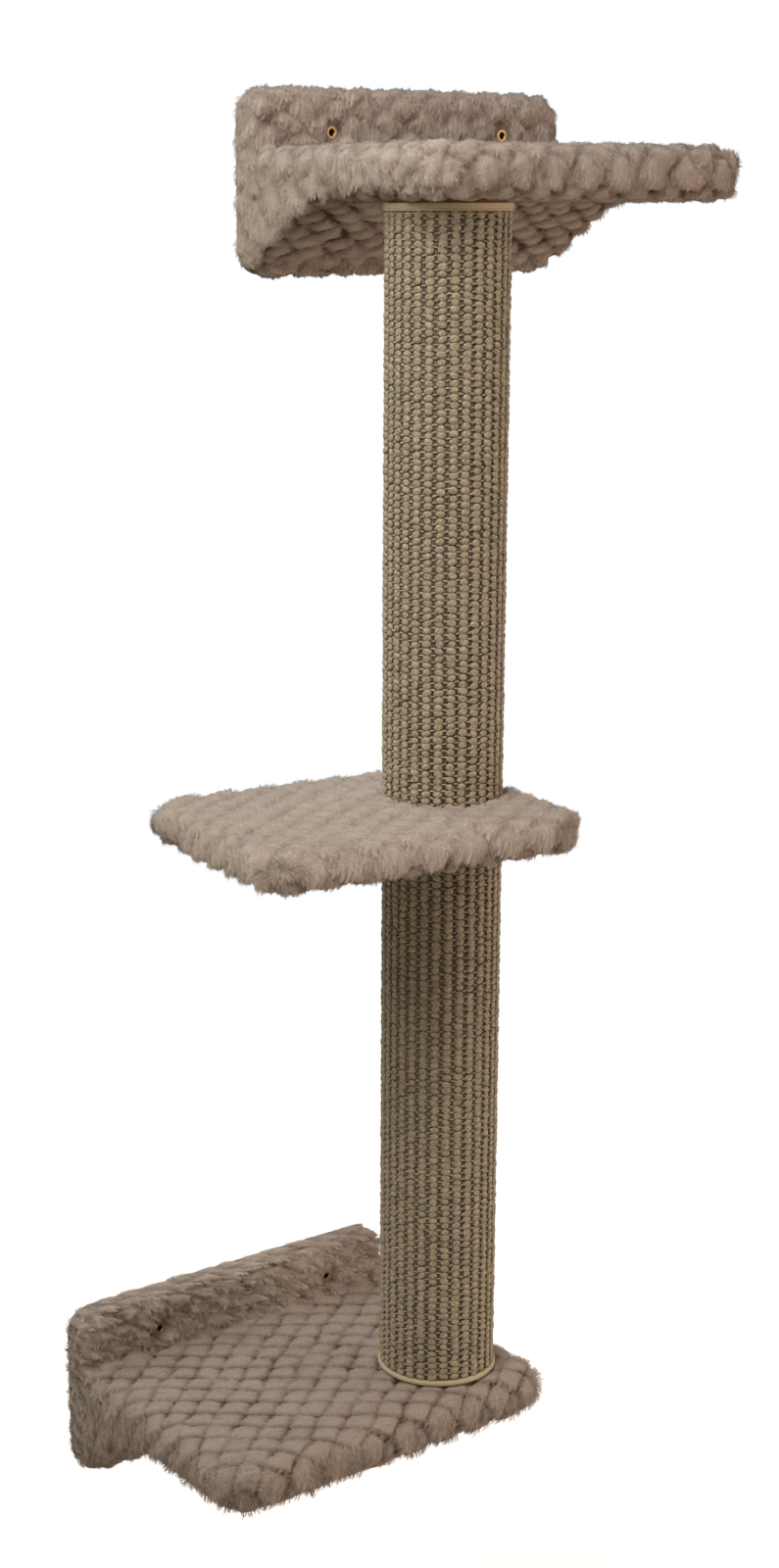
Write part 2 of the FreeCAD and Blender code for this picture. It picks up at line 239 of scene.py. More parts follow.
def block(outline, start, end, place, rims):
    """Extrudes an outline and rounds its two rims. place turns (x, y, height) to a 3-D place."""
    mesh = bmesh.new()
    low_ring = [mesh.verts.new(place(x, y, start)) for x, y in outline]
    high_ring = [mesh.verts.new(place(x, y, end)) for x, y in outline]
    mesh.faces.new(low_ring)
    mesh.faces.new(high_ring)
    count = len(outline)
    for i in range(count):
        j = (i + 1) % count
        mesh.faces.new((low_ring[i], low_ring[j], high_ring[j], high_ring[i]))
    bmesh.ops.recalc_face_normals(mesh, faces=mesh.faces)
    for ring, rim in zip((low_ring, high_ring), rims):
        if rim:
            ring = {vertex for vertex in ring if vertex.is_valid}
            edges = [e for e in mesh.edges if e.verts[0] in ring and e.verts[1] in ring]
            bmesh.ops.bevel(mesh, geom=edges, offset=rim, segments=6, profile=0.5, affect="EDGES")
    data = bpy.data.meshes.new("block")
    mesh.to_mesh(data)
    mesh.free()
    return data


def new_object(name, data):
    """An object that shows some data in the scene."""
    made = bpy.data.objects.new(name, data)
    bpy.context.collection.objects.link(made)
    return made


def united(name, blocks):
    """Merges blocks into one skin of small even faces, and smooths it."""
    mesh = bmesh.new()
    for data in blocks:
        mesh.from_mesh(data)
        bpy.data.meshes.remove(data)
    data = bpy.data.meshes.new(name)
    mesh.to_mesh(data)
    mesh.free()
    skin = new_object(name, data)
    remesh = skin.modifiers.new("Remesh", "REMESH")
    remesh.mode = "VOXEL"
    remesh.voxel_size = skin_step
    smooth = skin.modifiers.new("Smooth", "SMOOTH")
    smooth.factor = 0.5
    smooth.iterations = skin_smoothing
    seen = skin.evaluated_get(bpy.context.evaluated_depsgraph_get())
    skin.modifiers.clear()
    skin.data = bpy.data.meshes.new_from_object(seen)
    skin.data.name = name
    bpy.data.meshes.remove(data)
    return skin


def read(items, key, width, kind=np.float32):
    """One value or vector of each of a mesh's items, in rows."""
    values = np.empty(len(items) * width, kind)
    items.foreach_get(key, values)
    return values.reshape(-1, width)


def places_and_normals(data):
    """The place and the normal of every vertex of a mesh."""
    places, normals = read(data.vertices, "co", 3), read(data.vertex_normals, "vector", 3)
    return places.astype(float), normals.astype(float)


# %% [markdown]
# A wall unit is three blocks: the padded wall board, the padded shelf, and the web of
# fabric that slopes from the shelf's underside down to the wall board's foot.

# %% The skin of a wall unit


def unit_sizes(name):
    """The boxes of a unit's wall cover, shelf cover and web."""
    return [corners(f"{name}_{part}_cover") for part in ("wall", "shelf", "web")]


def unit_skin(name):
    """A unit's skin: the wall board's block, the shelf's, and the web's under the shelf."""
    (wall_low, wall_high), (shelf_low, shelf_high), (web_low, _) = unit_sizes(name)
    front, back = wall_low[1], wall_high[1]
    wall_ends = wall_low[[0, 2]] + wall_slack[name][0], wall_high[[0, 2]] + wall_slack[name][1]
    wall_in = rounded_outline(*wall_ends, [wall_corner] * 4)
    wall = block(wall_in, front + skin_inset, back, lambda x, z, y: (x, y, z), wall_rims)
    low, high = shelf_low + shelf_slack[name][0], shelf_high + shelf_slack[name][1]
    deep = back - 8 * MM
    shelf_in = rounded_outline(low[:2], (high[0], deep), [shelf_corner, shelf_corner, 0, 0])
    shelf = block(shelf_in, low[2], high[2], lambda x, y, z: (x, y, z), shelf_rims)
    foot = web_low[2] - 3 * MM
    reach = web_low[1] * 0.86 + front * 0.14
    sweep = [(deep, foot), (front, foot)]
    for share in np.linspace(0.04, 1, 12):
        fall = (1 - share) ** 1.35
        sweep.append((front + (reach - front) * share, low[2] + (foot - low[2]) * fall))
    inside = high[2] - 20 * MM
    sweep += [(reach, inside), (deep, inside)]
    web = block(sweep, low[0], high[0], lambda y, z, x: (x, y, z), web_rims)
    return united(f"{name}_plush_skin", [wall, shelf, web])

# %% [markdown]
# The platform is the same kind of cover round a smaller board. Its board was turned a
# little about the posts, so the block is made square to the board and then turned.

# %% The skin of the platform


def turned_about_post(points, angle):
    """Points turned about the posts' axis, seen from above."""
    spun = np.array(points, float)
    flat = spun[:, :2] - post_axis
    spun[:, 0] = post_axis[0] + flat @ [math.cos(angle), -math.sin(angle)]
    spun[:, 1] = post_axis[1] + flat @ [math.sin(angle), math.cos(angle)]
    return spun


def platform_turn():
    """The platform's turn about the posts: the angle that makes its board narrowest."""
    places, _ = places_and_normals(nodes["platform_board"].data)
    angles = np.radians(np.linspace(-15, 15, 301))
    widths = [np.ptp(turned_about_post(places, -a)[:, 0]) for a in angles]
    return angles[int(np.argmin(widths))]


turn = platform_turn()
cover_places, _ = places_and_normals(nodes["platform_cover"].data)
squared = turned_about_post(cover_places, -turn)
platform_low, platform_high = squared.min(axis=0), squared.max(axis=0)
print("platform turned by (degrees):", round(math.degrees(turn), 1))


def platform_skin():
    """The platform's skin: one block, square to its board and then turned with it."""
    low = platform_low + skin_inset + platform_slack[0]
    high = platform_high - skin_inset + platform_slack[1]
    outline = rounded_outline(low[:2], high[:2], [shelf_corner] * 4)
    pad = block(outline, low[2], high[2], lambda x, y, z: (x, y, z), platform_rims)
    points = turned_about_post([vertex.co for vertex in pad.vertices], turn)
    pad.vertices.foreach_set("co", points.ravel())
    return united("platform_plush_skin", [pad])


skins = {"lower": unit_skin("lower"), "upper": unit_skin("upper"), "platform": platform_skin()}
for name, skin in skins.items():
    print(name, "skin has", len(skin.data.polygons), "faces")

# %% [markdown]
# The plush was cut from flat fabric, so its rows of tufts run over the edges without a
# break. Each chart below unfolds one part of the cover: it turns a point of the skin into
# a place (u, v) on the flat fabric, going down a side by as much as the point lies under
# the top. Where two charts meet, the tufts of both are mixed.

# %% Unfolding the fabric


def leaning(normals, first, second):
    """How much a point leans towards the ends of two axes, with signs, adding up to 1."""
    a, b = normals[:, first], normals[:, second]
    total = np.abs(a) + np.abs(b) + 1e-6
    return a / total, b / total


def chart(weight, u, v, along_u, along_v):
    """A part of the cover laid flat: places (u, v), and the ways on the skin that they run."""
    sizes = {"width": tuft_width, "row": tuft_row}
    return {"weight": weight, "u": u, "v": v, "along_u": along_u, "along_v": along_v, **sizes}


def vectors(x, y, z):
    """Rows of (x, y, z), where each is an array or one number for all rows."""
    return np.stack(np.broadcast_arrays(x, y, z), axis=1).astype(float)


def pad_charts(points, normals, low, high):
    """A pad's top with its edges, and its underside with the web that falls from it."""
    zero = np.zeros(len(points))
    lean_x, lean_y = leaning(normals, 0, 1)
    down = wrap_share * np.maximum(high[2] - points[:, 2], 0)
    under = ramp(normals[:, 2], -0.35, -0.7)
    slope = 0.364
    fall = np.maximum(low[2] - points[:, 2], 0)
    top = chart(
        1 - under,
        points[:, 0] + lean_x * down,
        points[:, 1] + lean_y * down,
        vectors(zero + 1, 0, -wrap_share * lean_x),
        vectors(zero, 1, -wrap_share * lean_y),
    )
    bottom = chart(
        under,
        points[:, 0],
        points[:, 1] + slope * fall,
        vectors(zero + 1, 0, 0),
        vectors(zero, 1, -slope),
    )
    return [top, bottom]


def wall_chart(points, normals, front):
    """A wall board's face and edges."""
    zero = np.zeros(len(points))
    lean_x, lean_z = leaning(normals, 0, 2)
    back = np.maximum(points[:, 1] - front, 0)
    return chart(
        zero + 1,
        points[:, 0] + lean_x * back,
        points[:, 2] + lean_z * back,
        vectors(zero + 1, lean_x, 0),
        vectors(zero, lean_z, 1),
    )


def unit_charts(points, normals, name):
    """A unit's shelf, its underside with the web, and its wall board."""
    (wall_low, _), (shelf_low, shelf_high), _ = unit_sizes(name)
    front = wall_low[1] + skin_inset
    charts = pad_charts(points, normals, shelf_low + skin_inset, shelf_high - skin_inset)
    top = shelf_high[2] + shelf_slack[name][1][2]
    on_wall = np.maximum(
        ramp(points[:, 1], front - 12 * MM, front - 1 * MM),
        ramp(points[:, 2], top + 1 * MM, top + 5 * MM),
    )
    for part in charts:
        part["weight"] = part["weight"] * (1 - on_wall)
    wall = wall_chart(points, normals, front)
    wall["weight"] = on_wall
    if name == "lower":
        wall = drawn_out(wall)
    return charts + [wall]


def drawn_out(part):
    """The same chart with tufts that are long and thin, and lie across it at a slant."""
    way, aside = math.cos(strand_slant), math.sin(strand_slant)
    for first, second in (("u", "v"), ("along_u", "along_v")):
        a, b = part[first], part[second]
        part[first], part[second] = a * way - b * aside, a * aside + b * way
    part["width"], part["row"] = strand_length, strand_row
    return part


def turned_ways(ways, angle):
    """Ways turned by an angle, seen from above."""
    axis = np.append(post_axis, 0)
    return turned_about_post(ways + axis, angle) - axis


def platform_charts(points, normals, _):
    """The platform's top and underside, laid flat square to its board."""
    low, high = platform_low + skin_inset, platform_high - skin_inset
    charts = pad_charts(turned_about_post(points, -turn), turned_ways(normals, -turn), low, high)
    for part in charts:
        for key in ("along_u", "along_v"):
            part[key] = turned_ways(part[key], turn)
    return charts


chart_makers = {"lower": unit_charts, "upper": unit_charts, "platform": platform_charts}


# %% [markdown]
# On the flat fabric each tuft becomes a pillow. The lower shelf's tufts are pressed flat,
# with sharp lines between them, and the others stay round. Real rows wander, so a point's
# place on the fabric is first shifted by a few noises, from broad to fine.

# %% The height of the tufts

warp_waves = {
    "u": ((3.6, 60, 10), (1.6, 18, 11), (1.1, 7, 15)),
    "v": ((3.0, 55, 12), (1.4, 18, 13), (1.1, 7, 16)),
}


def warp(points, way, seed):
    """How far rows wander along u or v: noises, each with its height, size and own seed."""
    waves = warp_waves[way]
    return sum(height * MM * noise(points, size * MM, seed + own) for height, size, own in waves)


def pressed_pillow(inside, across, along):
    """The height in a pressed tuft, which has steep borders and two softer sides."""
    slope = np.clip(across + along, -1, 1)
    reach = np.maximum(inside, 0) / (0.15 * (1 + 0.5 * slope))
    open_side = ramp(np.abs(across - along) - np.abs(across + along), -0.2, 0.4)
    return 1 - (1 - 0.1 * open_side) * np.exp(-(reach ** 1.3)) - 0.12 * slope


def round_pillow(inside, along):
    """The height in a round tuft, which is a little higher on one side."""
    reach = np.maximum(inside, 0) / (0.3 * (1 + 0.5 * along))
    return 1 - np.exp(-(reach ** 1.7)) - 0.16 * along


def pattern(name, points, normals, seed):
    """Each point's height in its tuft from 0 to 1, and the way out of the tuft's middle."""
    pressed = name == "lower"
    warp_u, warp_v = warp(points, "u", seed), warp(points, "v", seed)
    worn = 0.8 + 0.22 * noise(points, 24 * MM, seed + 14) + 0.4 * noise(points, 9 * MM, seed + 17)
    height, outward = np.zeros(len(points)), np.zeros((len(points), 3))
    total = np.full(len(points), 1e-6)
    for number, part in enumerate(chart_makers[name](points, normals, name)):
        on_wall = number == 2
        wild = 1.0 if pressed else (3.2 if on_wall else 1.2)
        u, v = part["u"] + wild * warp_u, part["v"] - tuft_start + wild * warp_v
        inside, offset = tufts(u, v, part["width"], part["row"], seed + 20 * number)
        across, along = offset[:, 0] / part["width"] * 2, offset[:, 1] / part["row"]
        if pressed and not on_wall:
            pillow = pressed_pillow(inside, across, along)
        else:
            pillow = round_pillow(inside, along)
        pit = ramp(-inside, 0.0, 0.06)
        pillow = 1 - (0.85 if on_wall else 1.0) * (worn * (1 - pillow) + 0.6 * pit)
        weight = part["weight"]
        height += weight * pillow
        away = offset[:, :1] * part["along_u"] + offset[:, 1:] * part["along_v"]
        outward += weight[:, None] * away
        total += weight
    return height / total, along_skin(outward, normals) / total[:, None]


# %% [markdown]
# The fabric is cut round the posts and round the two brass eyelets that take the wall
# screws. These helpers measure how far a point of the plush is from them, so that the
# skin can be pressed in and cut there, and the pile can thin out.

# %% Eyelets and posts in the plush


def eyelet_centres(name):
    """The two eyelets of a unit, as (x, z), and the height of their flanges."""
    low, high = corners(f"{name}_wall_eyelets")
    radius = (high[2] - low[2]) / 2
    middle = (low[2] + high[2]) / 2
    return [(low[0] + radius, middle), (high[0] - radius, middle)], low[1]


def from_eyelets(name, points):
    """Each point's distance from the nearest eyelet, on the wall board's front."""
    if name == "platform":
        return np.full(len(points), 1.0)
    centres, _ = eyelet_centres(name)
    (wall_low, _), _, _ = unit_sizes(name)
    gaps = [np.hypot(points[:, 0] - x, points[:, 2] - z) for x, z in centres]
    elsewhere = (points[:, 1] > -8 * MM) | (points[:, 1] < wall_low[1] - 8 * MM)
    return np.where(elsewhere, 1.0, np.min(gaps, axis=0))


def towards_eyelets(name, points):
    """The way from each point to its eyelet, along the wall board's front."""
    way = np.zeros_like(points)
    if name != "platform":
        centres, _ = eyelet_centres(name)
        middle = (centres[0][0] + centres[1][0]) / 2
        way[:, 0] = np.where(points[:, 0] < middle, centres[0][0], centres[1][0]) - points[:, 0]
        way[:, 2] = centres[0][1] - points[:, 2]
    return unit(way)


def under_post(name, points):
    """Each point's distance from the post's axis where a post stands or hangs, else far."""
    gap = np.linalg.norm(points[:, :2] - post_axis, axis=1)
    if name == "platform":
        return gap
    _, (low, high), _ = unit_sizes(name)
    above = points[:, 2] > (low[2] + high[2]) / 2
    return np.where(above == (name == "lower"), gap, 1.0)


# %% [markdown]
# Plush isn't the same all over: it is fuller on a shelf's edges, it gathers into a whorl
# at the front corners, and it stands up where the wall board rises from the shelf. The
# helpers below say where these places are. They also set the plush's painted shade, which
# is darker in the lines between tufts, in the whorls' pits and on undersides. A mesh can
# keep such a value for each vertex under a name, which a material then reads.

# %% Where the plush changes, and its painted shade


def store(data, name, values):
    """Keeps a number or a vector for each vertex, which a material can read by its name."""
    values = np.asarray(values, np.float32)
    kind, key = ("FLOAT", "value") if values.ndim == 1 else ("FLOAT_VECTOR", "vector")
    layer = data.attributes.new(name, kind, "POINT")
    layer.data.foreach_set(key, values.ravel())


def wall_foot(name):
    """Heights between which a unit's wall board comes up out of its shelf.

    The platform has no wall board, so its heights lie far above it.
    """
    if name == "platform":
        return 8.0, 9.0
    _, (_, high), _ = unit_sizes(name)
    top = high[2] + shelf_slack[name][1][2]
    return top + 1 * MM, top + 6 * MM


def whorls(name):
    """Where the fabric's corners gather, so that the pile parts from one point."""
    if name == "platform":
        low, high = platform_low, platform_high
    else:
        _, (low, high), _ = unit_sizes(name)
    inset, upper = 9 * MM, high[2] - 15 * MM
    found = [(low[0] + inset, low[1] + inset, upper), (high[0] - inset, low[1] + inset, upper)]
    return turned_about_post(found, turn) if name == "platform" else np.array(found)


def on_wall_board(name, points):
    """1 on a unit's wall board and 0 on its shelf, with a short change between."""
    if name == "platform":
        return np.zeros(len(points))
    (wall_low, _), _, _ = unit_sizes(name)
    return ramp(points[:, 1], wall_low[1] - 2 * MM, wall_low[1] + 6 * MM)


def on_edges(name, points, normals):
    """1 on the upright edges of a cover and 0 on its flat sides, with less on a wall board."""
    return ramp(np.abs(normals[:, 2]), 0.95, 0.5) * (1 - 0.7 * on_wall_board(name, points))


def from_whorls(name, points):
    """Each point's distance from the nearest whorl."""
    return np.min([np.linalg.norm(points - whorl, axis=1) for whorl in whorls(name)], axis=0)


def lumpiness(points, seed):
    """Three noises of the plush: clumps, finer clumps, and the heaps that clumps lie in."""
    sizes = ((15 * MM, 1), (6 * MM, 2), (34 * MM, 4))
    return [noise(points, size, seed + own) for size, own in sizes]


def painted_lightness(name, points, normals, height, seed):
    """Painted shade for the pile and its backing: 0 is darkest, deep in a line between tufts, in a whorl's
    pit and on undersides, and 1 is where none is painted.
    """
    on_edge = on_edges(name, points, normals)
    clump, fine, heap = lumpiness(points, seed)
    # painted shade: deepest in the lines between tufts, less on full clumps and edge heaps
    low = 1 - np.clip(height + 0.14 * clump + 0.1 * fine + 0.1 * on_edge * heap, 0, 1)
    # more painted shade in the pit of a whorl
    low += 0.8 * (1 - low) * ramp(from_whorls(name, points), 6 * MM, 2 * MM)
    painted_darkness = groove_painted_shade[name] * (1 - (0.15 if name == "lower" else 0.35) * on_edge)
    # less painted shade where the skin faces back, and full painted shade on undersides, as under a shelf
    painted_darkness *= 1 - 0.8 * ramp(normals[:, 1], 0.4, 0.8)
    painted_darkness += (1 - painted_darkness) * ramp(normals[:, 2], -0.2, -0.6)
    return 1 - painted_darkness * low


# %% [markdown]
# A skin could be sculpted by hand with brushes. Here every point moves along its normal
# instead: up in the middle of a tuft, down in the lines between tufts, with some lumps
# where the pile clumps. That way the same few lines fit every cover. The plush lies flat
# at the wall, dips to the eyelets' flanges and is pressed in at the post. Then the faces
# at the post, at the eyelets and over the wall board's bare back are taken out.

# %% Sculpting a skin

more_on_edge = {"lower": 0.6, "upper": 0.55, "platform": 0.9}


def tuft_lift(name, points, normals, height, seed):
    """How far tufts, lumps and whorls move each point along its normal."""
    clump, fine, heap = lumpiness(points, seed)
    swell = noise(points, 70 * MM, seed + 3)
    on_edge = on_edges(name, points, normals)
    lift = tuft_height[name] * (0.9 + 0.3 * swell + more_on_edge[name] * on_edge) * (height - 0.6)
    upright = ramp(-normals[:, 1], 0.5, 0.9) * ramp(points[:, 2], *wall_foot(name))
    clumped = (0.5 + 0.4 * on_edge + 0.8 * upright) * MM * clump
    lift += clumped + 0.3 * MM * fine + 0.8 * on_edge * MM * heap
    return lift - 3 * MM * ramp(from_whorls(name, points), 9 * MM, 2 * MM)


def pressed_in(name, points, normals, lift):
    """The lift as it is left at the wall, at the eyelets and at the post."""
    if name != "platform":
        (_, wall_high), _, _ = unit_sizes(name)
        lift = lift * ramp(points[:, 1], wall_high[1] - 1 * MM, wall_high[1] - 8 * MM)
        _, flange = eyelet_centres(name)
        dip = ramp(from_eyelets(name, points), 17 * MM, 9 * MM) * ramp(-normals[:, 1], 0.1, 0.5)
        ahead = flange + 0.4 * MM - points[:, 1]
        lift = lift * (1 - dip) - dip * np.maximum(ahead, 0)
    return lift - 1.5 * MM * ramp(under_post(name, points), post_radius + 9 * MM, post_radius)


def cut_openings(name, data):
    """Takes out the faces at the post and eyelets and over the wall board's bare back."""
    mesh = bmesh.new()
    mesh.from_mesh(data)
    centres = np.array([face.calc_center_median() for face in mesh.faces])
    gone = under_post(name, centres) < post_radius - 3 * MM
    if name != "platform":
        (wall_low, wall_high), _, _ = unit_sizes(name)
        gone |= from_eyelets(name, centres) < eyelet_hole
        across = centres[:, [0, 2]]
        bare = (across > wall_low[[0, 2]] + hem_width) & (across < wall_high[[0, 2]] - hem_width)
        gone |= bare.all(axis=1) & (centres[:, 1] > wall_high[1] - 3 * MM)
    faces = [face for face, out in zip(mesh.faces, gone) if out]
    bmesh.ops.delete(mesh, geom=faces, context="FACES")
    if name != "platform":
        rim = [e for e in mesh.edges if e.is_boundary and min(v.co.y for v in e.verts) > -4 * MM]
        turned_in = bmesh.ops.extrude_edge_only(mesh, edges=rim)["geom"]
        for item in turned_in:
            if isinstance(item, bmesh.types.BMVert):
                item.co.y = -0.3 * MM
    mesh.to_mesh(data)
    mesh.free()


def sculpt(name, skin, seed):
    """Moves a skin's points, and keeps on it what the pile and the materials need."""
    points, normals = places_and_normals(skin.data)
    height, _ = pattern(name, points, normals, seed)
    lift = pressed_in(name, points, normals, tuft_lift(name, points, normals, height, seed))
    store(skin.data, "home", points)
    points += normals * lift[:, None]
    skin.data.vertices.foreach_set("co", points.ravel())
    skin.data.update()
    # the painted shade is kept for the finishes, and is read again where the pile's fibres are scattered
    store(skin.data, "crest_and_shade", painted_lightness(name, points, normals, height, seed))
    store(skin.data, "plain", normals)
    cut_openings(name, skin.data)
    skin.data.polygons.foreach_set("use_smooth", [True] * len(skin.data.polygons))


for number, (name, skin) in enumerate(skins.items()):
    sculpt(name, skin, seed=100 * number + 5)
    print(name, "skin sculpted")

# %% [markdown]
# Long plush shows its pile: locks of soft fibres that lie over each other, catch light on
# their tips and leave a fringe on every outline. Hair curves would do for a picture, but
# a model that is exported needs a mesh. So each lock is a small bent leaf of two
# triangles. Its root sits in the skin, and it leans with the comb direction, away from
# the middle of its tuft, and down over the edges. Its shading normals are the skin's, so
# that the pile shades as one soft surface and not as scattered leaves.

# %% How the pile is combed

lock_width = {"lower": 6.0 * MM, "upper": 4.6 * MM, "platform": 4.6 * MM}
top_ways = {"lower": (-0.93, 0.2, 0), "upper": (-0.45, -0.75, 0), "platform": (-0.45, -0.75, 0)}
strand_way = (math.cos(strand_slant), -0.2, -math.sin(strand_slant))


def steepness(normals):
    """0 where the plush lies flat, to 1 where it hangs down an edge."""
    return ramp(np.abs(normals[:, 2]), 0.85, 0.45)


def flow(name, points, normals):
    """The way in which the pile is combed, before it bends round each tuft."""
    down_edges = vectors(-0.25 + 0 * points[:, 0], -0.2, -1.0)
    on_top = np.tile(top_ways[name], (len(points), 1))
    edge = steepness(normals)[:, None]
    comb = on_top * (1 - edge) + down_edges * edge
    swirl = noise_ways(points, 38 * MM, 50)
    comb = comb + (0.4 + 0.6 * edge if name == "lower" else 0.9) * swirl
    if name == "lower":
        wall = on_wall_board(name, points)[:, None]
        slanted = np.tile(strand_way, (len(points), 1))
        comb = comb * (1 - wall) + (slanted + 0.5 * swirl) * wall
    for whorl in whorls(name):
        away = points - whorl
        near = np.exp(-((np.linalg.norm(away, axis=1) / (30 * MM)) ** 4))[:, None]
        comb = comb * (1 - near) + 4.0 * near * unit(away)
    return comb


def locks(name, points, way, seed):
    """The way from each fibre to its lock's middle line, how central it is, and the lock's tone.

    Locks lie side by side along one way, each a little further on than the last.
    """
    way = unit(np.array(way))
    aside = unit(np.cross(way, [0.3, -0.5, 0.8]))
    axes = np.array([way, aside, np.cross(way, aside)])
    sizes = np.array([3.4, 1, 1]) * lock_width[name]
    place = points @ axes.T / sizes
    place += 0.3 * noise_ways(points, 9 * MM, seed + 70)
    beside = np.floor(place[:, 1:]).astype(np.int64)
    strip = np.column_stack([beside, np.zeros(len(points), np.int64)])
    place[:, 0] += steady(strip, seed + 74)
    cell = np.floor(place).astype(np.int64)
    share = 0.5 - (place - cell)
    share[:, 0] = 0
    central = 1 - np.clip(2 * np.abs(share).max(axis=1), 0, 1)
    return (share * sizes) @ axes, central, steady(cell, seed + 75)


def gathered_locks(name, part, root, normal, seed):
    """The locks of fibres that lie flat and of those that hang down an edge."""
    edge_way = strand_way if (name, part) == ("lower", "wall") else (-0.25, -0.2, -1)
    flat_locks, edge_locks = (locks(name, root, way, seed) for way in (top_ways[name], edge_way))
    steep = steepness(normal) > 0.5
    gathered = along_skin(np.where(steep[:, None], edge_locks[0], flat_locks[0]), normal)
    central, tone = (np.where(steep, edge_locks[k], flat_locks[k]) for k in (1, 2))
    return gathered, central, tone


def combed(name, root, normal, outward, seed):
    """The way in which each fibre leans along the skin."""
    round_tuft = np.where(steepness(normal) > 0.5, 38.0, 16.0 if name == "lower" else 38.0)
    comb = flow(name, root, normal) + round_tuft[:, None] * outward
    comb += 0.6 * noise_ways(root, 7 * MM, seed + 60) + 0.16 * dice.normal(size=root.shape)
    to_eyelet = ramp(from_eyelets(name, root), 15 * MM, 9 * MM)[:, None]
    comb = comb * (1 - to_eyelet) + 0.5 * to_eyelet * towards_eyelets(name, root)
    return unit(along_skin(comb, normal))


# %% [markdown]
# Blender could scatter the fibres with geometry nodes. Arrays are used here, because every
# fibre then knows its own tuft and lock. First come random places on the skin, more of
# them on the crests, and none under a post or on an eyelet's flange.

# %% Where the fibres grow


def kept(data, name):
    """What a mesh keeps under a name, in rows."""
    layer = data.attributes[name]
    key, width = ("value", 1) if layer.data_type == "FLOAT" else ("vector", 3)
    return read(layer.data, key, width)


def seeds(data, count, weigh):
    """Random places on a mesh with their normals, and both as they were before sculpting."""
    data.calc_loop_triangles()
    corner = read(data.loop_triangles, "vertices", 3, np.int32)
    points, normals = places_and_normals(data)
    crest_and_shade, plain, home = (kept(data, name) for name in ("crest_and_shade", "plain", "home"))
    a, b, c = (points[corner[:, k]] for k in range(3))
    area = np.linalg.norm(np.cross(b - a, c - a), axis=1) / 2
    middle, facing = (a + b + c) / 3, normals[corner].mean(axis=1)
    chance = area * weigh(middle, facing, crest_and_shade[:, 0][corner].mean(axis=1))
    chosen = dice.choice(len(corner), count, p=chance / chance.sum())
    share = dice.random((count, 2))
    over = share.sum(axis=1) > 1
    share[over] = 1 - share[over]
    mix = np.stack([1 - share.sum(axis=1), share[:, 0], share[:, 1]], axis=1)[:, :, None]
    place, normal, plain, home = (
        (values[corner[chosen]] * mix).sum(axis=1) for values in (points, normals, plain, home)
    )
    return place, unit(normal), unit(plain), home


def belongs(name, part, places, facing):
    """Which places carry a part of the pile: a unit's shelf or wall, the platform's top or edge."""
    if name == "platform":
        first = np.abs(facing[:, 2]) > 0.7
    else:
        (wall_low, _), _, _ = unit_sizes(name)
        first = places[:, 1] < wall_low[1] + 2 * MM
    return first if part in ("shelf", "top") else ~first


def chance_of_pile(name, part, places, facing, crest_and_shade):
    """How likely each place on a skin is to carry a fibre of one part of the pile."""
    chance = (0.45 + 0.55 * crest_and_shade) * belongs(name, part, places, facing)
    chance *= ramp(under_post(name, places), post_radius + 1 * MM, post_radius + 4 * MM)
    chance *= ramp(from_eyelets(name, places), 7.5 * MM, 9.5 * MM)
    chance *= 1 - 0.4 * ramp(facing[:, 2], -0.5, -0.8)
    if name != "platform":
        (_, wall_high), _, _ = unit_sizes(name)
        chance *= ramp(places[:, 1], wall_high[1] - 2 * MM, wall_high[1] - 6 * MM)
    return chance


# %% [markdown]
# A real fibre rises from the backing, bends over and ends in a fine tip. A leaf of two
# triangles can do the same with four corners. It is as long as its place asks for: longest
# on edges and crests, short round an eyelet and under a shelf. Leaves of one lock are
# drawn together, and each has its own tone, with painted shade at the sides of its lock
# and on the lower shelf's flat faces.

# %% The shape of a fibre

longest_flat = {"lower": 5.0, "upper": 6.2, "platform": 6.2}
longer_on_edge = {"lower": 4.6, "upper": 0.6, "platform": 1.0}
shading_softness = {"lower": 0.3, "upper": 0.2, "platform": 0.4}


def fibre_lengths(name, root, normal, crest_and_shade, central, lock_tone):
    """How long each fibre is."""
    longer = longer_on_edge[name] * steepness(normal) * (1 - 0.7 * on_wall_board(name, root))
    length = MM * (longest_flat[name] + longer) * (0.6 + 0.4 * crest_and_shade)
    length *= dice.uniform(0.75, 1.1, len(root))
    length *= 0.45 + 0.55 * ramp(from_eyelets(name, root), 9 * MM, 18 * MM)
    length *= 0.8 + 0.25 * central + 0.15 * lock_tone
    return length * (1 - 0.35 * ramp(normal[:, 2], -0.4, -0.8))


def bent_leaves(name, root, normal, comb, length, central, gathered):
    """The four corners of each leaf: its foot, one side of its bend, its tip, the other side."""
    count, edge = len(root), steepness(normal)
    rise = np.radians(60 - 9 * edge + dice.normal(size=count) * 5)[:, None]
    droop = np.radians(82 - 8 * edge + dice.normal(size=count) * 6)[:, None]
    middle_way = np.cos(rise) * normal + np.sin(rise) * comb
    tip_way = np.cos(droop) * normal + np.sin(droop) * comb
    across = unit(np.cross(normal, comb) + 0.45 * dice.normal(size=(count, 1)) * normal)
    width = MM * dice.uniform(0.34, 0.8, count)[:, None] / 2
    foot = root + MM * (1.6 * central - 1.2)[:, None] * normal
    pull = 1.6 if name == "lower" else 1.0
    middle = foot + 0.55 * length[:, None] * middle_way + 0.25 * pull * gathered
    tip = middle + 0.55 * length[:, None] * tip_way + 0.4 * pull * gathered
    return np.stack([foot, middle + width * across, tip, middle - width * across], axis=1)


